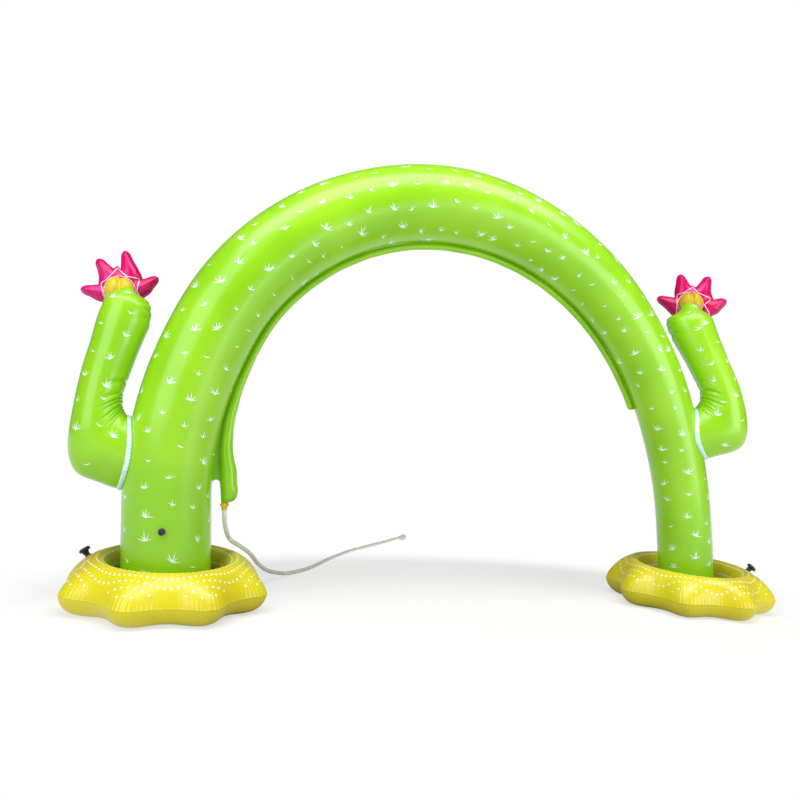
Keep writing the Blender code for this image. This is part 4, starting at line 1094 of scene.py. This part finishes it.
def addStrap(name, kind, matrix):
    # The band that holds the cap: a flat strip carried along an arc from the flange to the cap's rim. Its
    # middle goes straight from the flange's edge to the cap's, and out as reach sin(pi t) on the way.
    width, thickness, reach = valves["strap"][kind]
    (rows, columns), inset = valves["strapGrid"], valves["strapInset"]
    flange, rim, top = valves[kind + "Body"][3], valves[kind + "Cap"][4], valves[kind + "Body"][-1]
    along = np.linspace(0, 1, rows)[:, None]
    out = flange[1] - inset + (rim[1] - flange[1]) * along + reach * np.sin(math.pi * along)
    up = flange[0] + (top[0] + rim[0] - inset - flange[0]) * along
    slopeOut, slopeUp = (np.gradient(way[:, 0])[:, None] for way in (out, up))
    size = np.hypot(slopeOut, slopeUp)
    wide, thick = (half * np.sign(part) * np.abs(part) ** valves["strapFullness"]
                   for half, part in zip((width / 2, thickness / 2), onCircle(roundTurns(columns)).T))
    grid = stoodIn(matrix, np.stack([out + thick * slopeUp / size, wide + 0 * out,
                                     up - thick * slopeOut / size], -1))
    mesh = skinMesh(name, grid, poles=endMiddles(grid))
    linkPiece(name, mesh, valveBlack)


def addValve(word, node, kind, point, normal):
    seat = seatOn(point, normal)
    body = valves[kind + "Body"]
    addTurned("valve" + word, body, seat, valveBlack, ["valve_" + node])
    lifted = seat @ Matrix.Translation((0, 0, body[-1][0] + skinGap))
    addTurned("valveCap" + word, valves[kind + "Cap"], lifted, valveBlack,
              ["valve_cap_" + node], sides=96, ribs=24, ribDepth=0.0003, ribRows=(2, 3, 4))
    addStrap("valveStrap" + word, kind, seat)


def legValveSeat():
    half = slice(0, len(axis) // 2)
    length = np.interp(valves["legHeight"], axis[half, 1], axisLengths[half])
    turn = 2 * math.pi * valves["legTurn"]
    seat = archSkin(length, turn)
    return seat, archSkin(length, turn, 0.01) - seat


def addValves():
    addValve("Leg", "leg", "leg", *legValveSeat())
    for side in (left, right):
        degrees, place = valves["ringPlaces"][side]
        angle, nudge = math.radians(degrees), math.radians(1)
        around = ringSkin(side, angle + nudge, place) - ringSkin(side, angle - nudge, place)
        over = ringSkin(side, angle, place + 1) - ringSkin(side, angle, place - 1)
        addValve(sided("Base", side), "base_" + sideWord[side], "ring", ringSkin(side, angle, place),
                 np.cross(around, over))


addValves()
print("valves fitted")


prints = {
    "seed": 7, "lift": 0.00035, "ink": 0.0006,
    # spacing along and round the arch's tube, and an arm
    "archPitch": (0.094, 0.089), "armPitch": (0.087, 0.080), "jitter": 0.012,
    # spikes, their length, the fan's half angle in degrees, the root's radius
    "tufts": ((5, 0.0300, 78, 0.0046), (4, 0.0240, 66, 0.0040), (3, 0.0205, 62, 0.0035),
              (2, 0.0190, 74, 0.0027)),
    "tuftShares": (0.30, 0.24, 0.22, 0.24), "tuftUpward": (0.0, 0.30, 1.0),
    # how much the spikes' ways, lengths and bends and a whole tuft's lean scatter, in radians and shares
    "scatter": {"way": 0.11, "length": 0.16, "bend": 0.10, "lean": 0.30},
    # the lattice's first length and what stays free before the far end, and its half width round the skin
    "archRun": (0.06, 0.04, 0.52), "armRun": (0.02, 0.0, 0.27),
    # what stays bare: the spray strip's side, the feet, round the arms' roots, the leg's valve, the arms'
    # inner faces beyond a half width, their tips, and near the arch; the station round which a root is bare
    "bareStrip": 0.052, "bareFoot": 0.05, "bareRoot": 0.155, "bareLegValve": 0.040,
    "armHalf": 0.205, "bareTip": 0.012, "bareCrotch": 0.046, "rootStation": 1.8,
    "armStations": (0, 15.4, 300),
    "dotRadii": (0.2045, 0.2265, 0.2500, 0.2740, 0.2980, 0.3220, 0.3460), "dotColumns": 88, "dotSize": 0.0043,
    "dotLimit": 0.90, "dotSides": 8, "bareRingValve": 0.021,
    # the zigzag's corners, as a share of the valleys' radius and as a radius, its half width, the ring round
    # the flower's middle
    "zigzag": (0.90, 0.060), "zigzagHalf": 0.0017, "zigzagSteps": 10, "border": (0.0570, 0.0545),
}


def laidMarks(skin, first, second, upward, flat):
    # Flat marks, in metres right and up, laid on a skin of two parameters. Each offset v in the tangent plane
    # goes to the parameters' steps d by solving G d = (v . a, v . b), with a and b the skin's slopes and G
    # their products.
    step = 1e-3
    here = skin(first, second, 0.0)
    a = (skin(first + step, second, 0.0) - skin(first - step, second, 0.0)) / (2 * step)
    b = (skin(first, second + step, 0.0) - skin(first, second - step, 0.0)) / (2 * step)
    normal = unit(np.cross(a, b))
    normal *= np.sign((normal * (skin(first, second, 0.002) - here)).sum(-1, keepdims=True))
    up = unit(upward - (upward * normal).sum(-1, keepdims=True) * normal)
    across = np.cross(up, normal)
    offset = flat[..., :1] * across[:, None] + flat[..., 1:] * up[:, None]
    onA, onB = (offset * a[:, None]).sum(-1), (offset * b[:, None]).sum(-1)
    aa, bb, ab = ((p * q).sum(-1)[:, None] for p, q in ((a, a), (b, b), (a, b)))
    det = aa * bb - ab ** 2
    return skin(first[:, None] + (bb * onA - ab * onB) / det, second[:, None] + (aa * onB - ab * onA) / det,
                prints["lift"])


def tuftShapes(count, kind, random):
    # Flat outlines of spiky tufts, and the faces of one. Points: the middle, then the roots between the
    # spikes, then two points half way up and a tip for each spike. Spikes fan from right to left about the
    # upright, each with its own length and lean.
    spikes, length, fan, root = prints["tufts"][kind]
    fan = math.radians(fan)
    spread = prints["scatter"]
    way = np.linspace(-fan, fan, spikes) + random.normal(0, spread["way"], (count, spikes))
    sizes = length * (1 + random.normal(0, spread["length"], (count, spikes)))
    sizes = sizes * (1 - 0.10 * np.abs(np.linspace(-1, 1, spikes)))
    way = way + random.normal(0, spread["lean"], (count, 1))
    between = (way[:, 1:] + way[:, :-1]) / 2
    rootWay = np.hstack([way[:, :1] - 0.9, between, way[:, -1:] + 0.9])
    rootSize = root * np.hstack([np.full((count, 1), 0.9), np.ones_like(between), np.full((count, 1), 0.9)])

    def around(angle, distance):
        return np.stack([-np.sin(angle) * distance, np.cos(angle) * distance], -1)

    bend = random.normal(0, spread["bend"], (count, spikes))
    halfWay = 0.50 * sizes
    slim = 0.34 * root / halfWay
    middle = np.zeros((count, 1, 2))
    flat = np.concatenate([middle, around(rootWay, rootSize), around(way - slim + bend, halfWay),
                           around(way + slim + bend, halfWay), around(way, sizes)], 1)
    roots, low, high, tips = (1 + k for k in (0, spikes + 1, 2 * spikes + 1, 3 * spikes + 1))
    faces = [(0, roots + k, roots + k + 1) for k in range(spikes)] + [(0, roots + spikes, roots)]
    faces += [(roots + k, low + k, high + k, roots + k + 1) for k in range(spikes)]
    faces += [(low + k, tips + k, high + k) for k in range(spikes)]
    return flat, faces


def inkMesh(name, groups, finish):
    # All the marks of one print as a mesh: every mark repeats its shape's faces on its own points.
    points, faces, base = [], [], 0
    for marks, shape in groups:
        count, each = marks.shape[:2]
        points.append(marks.reshape(-1, 3))
        starts = base + np.arange(count) * each
        for face in shape:
            faces += (starts[:, None] + np.array(face)).tolist()
        base += count * each
    mesh = bpy.data.meshes.new(name)
    mesh.from_pydata(np.vstack(points).tolist(), [], faces)
    piece = linkPiece(name, mesh, finish)
    thicken(piece, prints["ink"], -1.0)


def scatter(random, lowAlong, highAlong, halfRound, pitchAlong, pitchAround):
    # A staggered lattice with a little scatter. Columns lie outwards from the outer line.
    columns = np.arange(-int(halfRound / pitchAround) - 1, int(halfRound / pitchAround) + 2)
    rows = np.arange(lowAlong, highAlong, pitchAlong)
    along, around = np.meshgrid(rows, columns * pitchAround, indexing="ij")
    along = along + (columns % 2) * pitchAlong / 2 + random.normal(0, prints["jitter"], along.shape)
    around = around + random.normal(0, prints["jitter"], around.shape)
    return along.reshape(-1), around.reshape(-1)


def addTufts(name, skin, first, second, random):
    kinds = random.choice(len(prints["tufts"]), len(first), p=prints["tuftShares"])
    groups, upward = [], np.array(prints["tuftUpward"])
    for kind in range(len(prints["tufts"])):
        chosen = kinds == kind
        flat, faces = tuftShapes(int(chosen.sum()), kind, random)
        groups.append((laidMarks(skin, first[chosen], second[chosen], upward, flat), faces))
    inkMesh(name, groups, whiteInk)


def addArchPrint():
    random = np.random.default_rng(prints["seed"])
    start, free, half = prints["archRun"]
    along, around = scatter(random, start, tubeLength - free, half, *prints["archPitch"])
    radius = tubeFrame(along)[3]
    turn = math.pi + around / radius
    clear = (np.abs(around) < radius * math.pi - prints["bareStrip"])
    clear &= np.abs(along - tubeLength / 2) < tubeLength / 2 - prints["bareFoot"]
    centre = archSkin(along, turn)
    angles = np.linspace(0, 2 * math.pi, 24)
    bare = [(armSkin(side, prints["rootStation"], angles).mean(0), prints["bareRoot"])
            for side in (left, right)]
    for spot, distance in (*bare, (legValveSeat()[0], prints["bareLegValve"])):
        clear &= np.linalg.norm(centre - spot, axis=-1) > distance
    addTufts("archPrint", archSkin, along[clear], turn[clear], random)


def addArmPrint(side):
    def skin(station, angle, lift):
        return armSkin(side, station, angle, lift)

    random = np.random.default_rng(prints["seed"] + 2 + side)
    stations = np.linspace(*prints["armStations"])
    run = runAlong(armSection(side, stations)[0])
    start, free, half = prints["armRun"]
    along, around = scatter(random, start, run[-1] - free, half, *prints["armPitch"])
    station, angle = np.interp(along, run, stations), math.pi + around / arms["filmRadius"]
    clear = (np.abs(around) < prints["armHalf"]) & (along < run[-1] - prints["bareTip"])
    clear &= aboveArch(skin(station, angle, 0.0), side) > prints["bareCrotch"]
    addTufts(sided("armPrint", side), skin, station[clear], angle[clear], random)


def addRingPrint(side):
    # Dots in rows of equal radius and in straight columns, from inside the rim down the outer slope. A
    # radius's place is the arc cosine of its share of the way from the crest, to the power 1 / fullness.
    def skin(angle, place, lift):
        return ringSkin(side, angle, np.degrees(place), lift)

    angle, radius = (part.reshape(-1) for part in np.meshgrid(roundTurns(prints["dotColumns"]),
                                                              prints["dotRadii"]))
    outer = ringSection(side, angle, 0 * angle)[0]
    crest, hole = rings["crestRadius"], rings["holeRadius"]
    outShare = np.clip((radius - crest) / (outer - crest), 0, 1) ** (1 / rings["slopeFullness"])
    inShare = np.clip((crest - radius) / (crest - hole), 0, 1) ** (1 / rings["holeFullness"])
    place = np.where(radius >= crest, np.arccos(outShare), np.arccos(-inShare))
    valve = skin(*np.radians(valves["ringPlaces"][side]), 0.0)
    clear = np.linalg.norm(skin(angle, place, 0.0) - valve, axis=-1) > prints["bareRingValve"]
    clear &= outShare < prints["dotLimit"]
    angle, place, sides = angle[clear], place[clear], prints["dotSides"]
    disc = prints["dotSize"] * np.vstack([[(0, 0)], onCircle(roundTurns(sides))])
    upward = np.column_stack([onCircle(angle), 0.3 + 0 * angle])
    marks = laidMarks(skin, angle, place, upward, disc[None])
    faces = [(0, 1 + k, 1 + (k + 1) % sides) for k in range(sides)]
    inkMesh(sided("ringDots", side), [(marks, faces)], dotInk)


def addFlowerPrint(side):
    # A zigzag line on the star, out to every valley and in again under every petal, and a ring round the
    # middle. Each is a strip of fixed width on the flat star, at the pillow's own height.
    rows, (outShare, inRadius) = flowers[side], prints["zigzag"]
    centre = np.array(centres["places"][side][:2])
    corners = []
    for row, following in zip(rows, rows[1:] + rows[:1]):
        middle = row[0] + (following[0] - row[0]) % 360 / 2
        corners += [outShare * flowers["valleyRadius"][side] * onCircle(math.radians(row[0])),
                    centre + inRadius * onCircle(math.radians(middle))]
    share = np.linspace(0, 1, prints["zigzagSteps"], endpoint=False)[:, None]
    line = np.concatenate([a + (b - a) * share for a, b in zip(corners, corners[1:] + corners[:1])])
    slope = unit(np.roll(line, -1, 0) - np.roll(line, 1, 0))
    aside = prints["zigzagHalf"] * np.stack([-slope[:, 1], slope[:, 0]], -1)
    strips = (np.stack([line + aside, line - aside]),
              np.stack([centre + radius * onCircle(roundTurns(len(line))) for radius in prints["border"]]))
    count, groups = len(line), []
    here, ahead = np.arange(count), np.roll(np.arange(count), -1)
    quads = np.stack([here, ahead, count + ahead, count + here], -1)
    for strip in strips:
        depth = np.minimum(pillowDepth(side, strip) + flowers["puckerDepth"] * 0.3,
                           armBackBehind(side, strip))
        groups.append((flowerPoint(side, strip, depth + prints["lift"]).reshape(1, -1, 3), quads))
    inkMesh(sided("petalLines", side), groups, petalInk)


addArchPrint()
for side in (left, right):
    addArmPrint(side)
    addRingPrint(side)
    addFlowerPrint(side)
print("prints laid")


studio = {
    # The floor is paler to the eye than in the light that it sends back up.
    "floor": shade(0.94, 0.94, 0.93), "bounced": shade(0.40, 0.40, 0.39), "sky": 0.12, "floorHalf": 30,
    # metres behind or before the middle at which the floor starts and ends to fade into the backdrop,
    # and how much less sideways metres count
    "fade": (0.45, 1.15), "sideways": 0.58,
    # how much of the backdrop's white the eye finds in the floor everywhere, so that shadows stay faint
    "veil": 0.6,
    # name, centre, aims at, width, height, brightness
    "lamps": (
        ("overhead", (-0.2, -1.3, 4.0), (-0.1, 0.1, 1.2), 6.0, 1.8, 5.0),
        ("window", (-3.1, -2.1, 2.0), (-0.9, 0.0, 0.9), 2.6, 2.6, 2.8),
        ("fill", (2.5, -3.0, 1.2), (1.1, 0.0, 0.3), 2.4, 2.0, 3.6),
    ),
}


def floorPaint():
    # Pale paint that glows white far out, so the floor runs into the backdrop without an edge.
    paint = Finish("floorPaint", roughness=0.7, specular=0.2)
    seen = paint.node("ShaderNodeLightPath").outputs["Is Camera Ray"]
    paint.feed(paint.shader.inputs["Base Color"], paint.mixed(studio["bounced"], studio["floor"], seen))
    glow = paint.node("ShaderNodeEmission")
    place = paint.node("ShaderNodeVectorMath", {"operation": "MULTIPLY"},
                       {0: paint.objectPlace(), 1: (studio["sideways"], 1.0, 1.0)}).outputs[0]
    far = paint.node("ShaderNodeVectorMath", {"operation": "LENGTH"}, {0: place}).outputs["Value"]
    veil = paint.maths("MULTIPLY", seen, studio["veil"])
    share = paint.maths("MAXIMUM", paint.between(far, *studio["fade"]), veil)
    blend = paint.node("ShaderNodeMixShader", sockets={0: share, 1: paint.shader.outputs[0],
                                                       2: glow.outputs[0]})
    paint.feed(paint.tree.nodes["Material Output"].inputs["Surface"], blend.outputs[0])
    return paint


def addStudio():
    floor = bpy.data.meshes.new("floor")
    half = studio["floorHalf"]
    corners = [(x * half, y * half, 0) for x, y in ((-1, -1), (1, -1), (1, 1), (-1, 1))]
    floor.from_pydata(corners, [], [(0, 1, 2, 3)])
    ground = bpy.data.objects.new("floor", floor)
    scene.collection.objects.link(ground)
    floor.materials.append(floorPaint().material)
    for name, centre, aim, width, height, brightness in studio["lamps"]:
        lampData = bpy.data.lights.new(name, "AREA")
        lampData.shape = "RECTANGLE"
        lampData.size, lampData.size_y = width, height
        lampData.energy = brightness * math.pi * width * height
        lamp = bpy.data.objects.new(name, lampData)
        scene.collection.objects.link(lamp)
        lamp.location = centre
        lamp.rotation_euler = (Vector(aim) - Vector(centre)).to_track_quat("-Z", "Y").to_euler()
        lamp.visible_camera = False
    world = bpy.data.worlds.new("sky")
    scene.world = world
    world.use_nodes = True
    nodes, links = world.node_tree.nodes, world.node_tree.links
    sky = nodes["Background"]
    sky.inputs["Color"].default_value = shade(1, 1, 1)
    sky.inputs["Strength"].default_value = studio["sky"]
    seen = nodes.new("ShaderNodeBackground")
    seen.inputs["Color"].default_value = shade(1, 1, 1)
    blend = nodes.new("ShaderNodeMixShader")
    links.new(nodes.new("ShaderNodeLightPath").outputs["Is Camera Ray"], blend.inputs[0])
    links.new(sky.outputs[0], blend.inputs[1])
    links.new(seen.outputs[0], blend.inputs[2])
    links.new(blend.outputs[0], nodes["World Output"].inputs["Surface"])
    scene.view_settings.view_transform = "Standard"


addStudio()
print("studio lit")
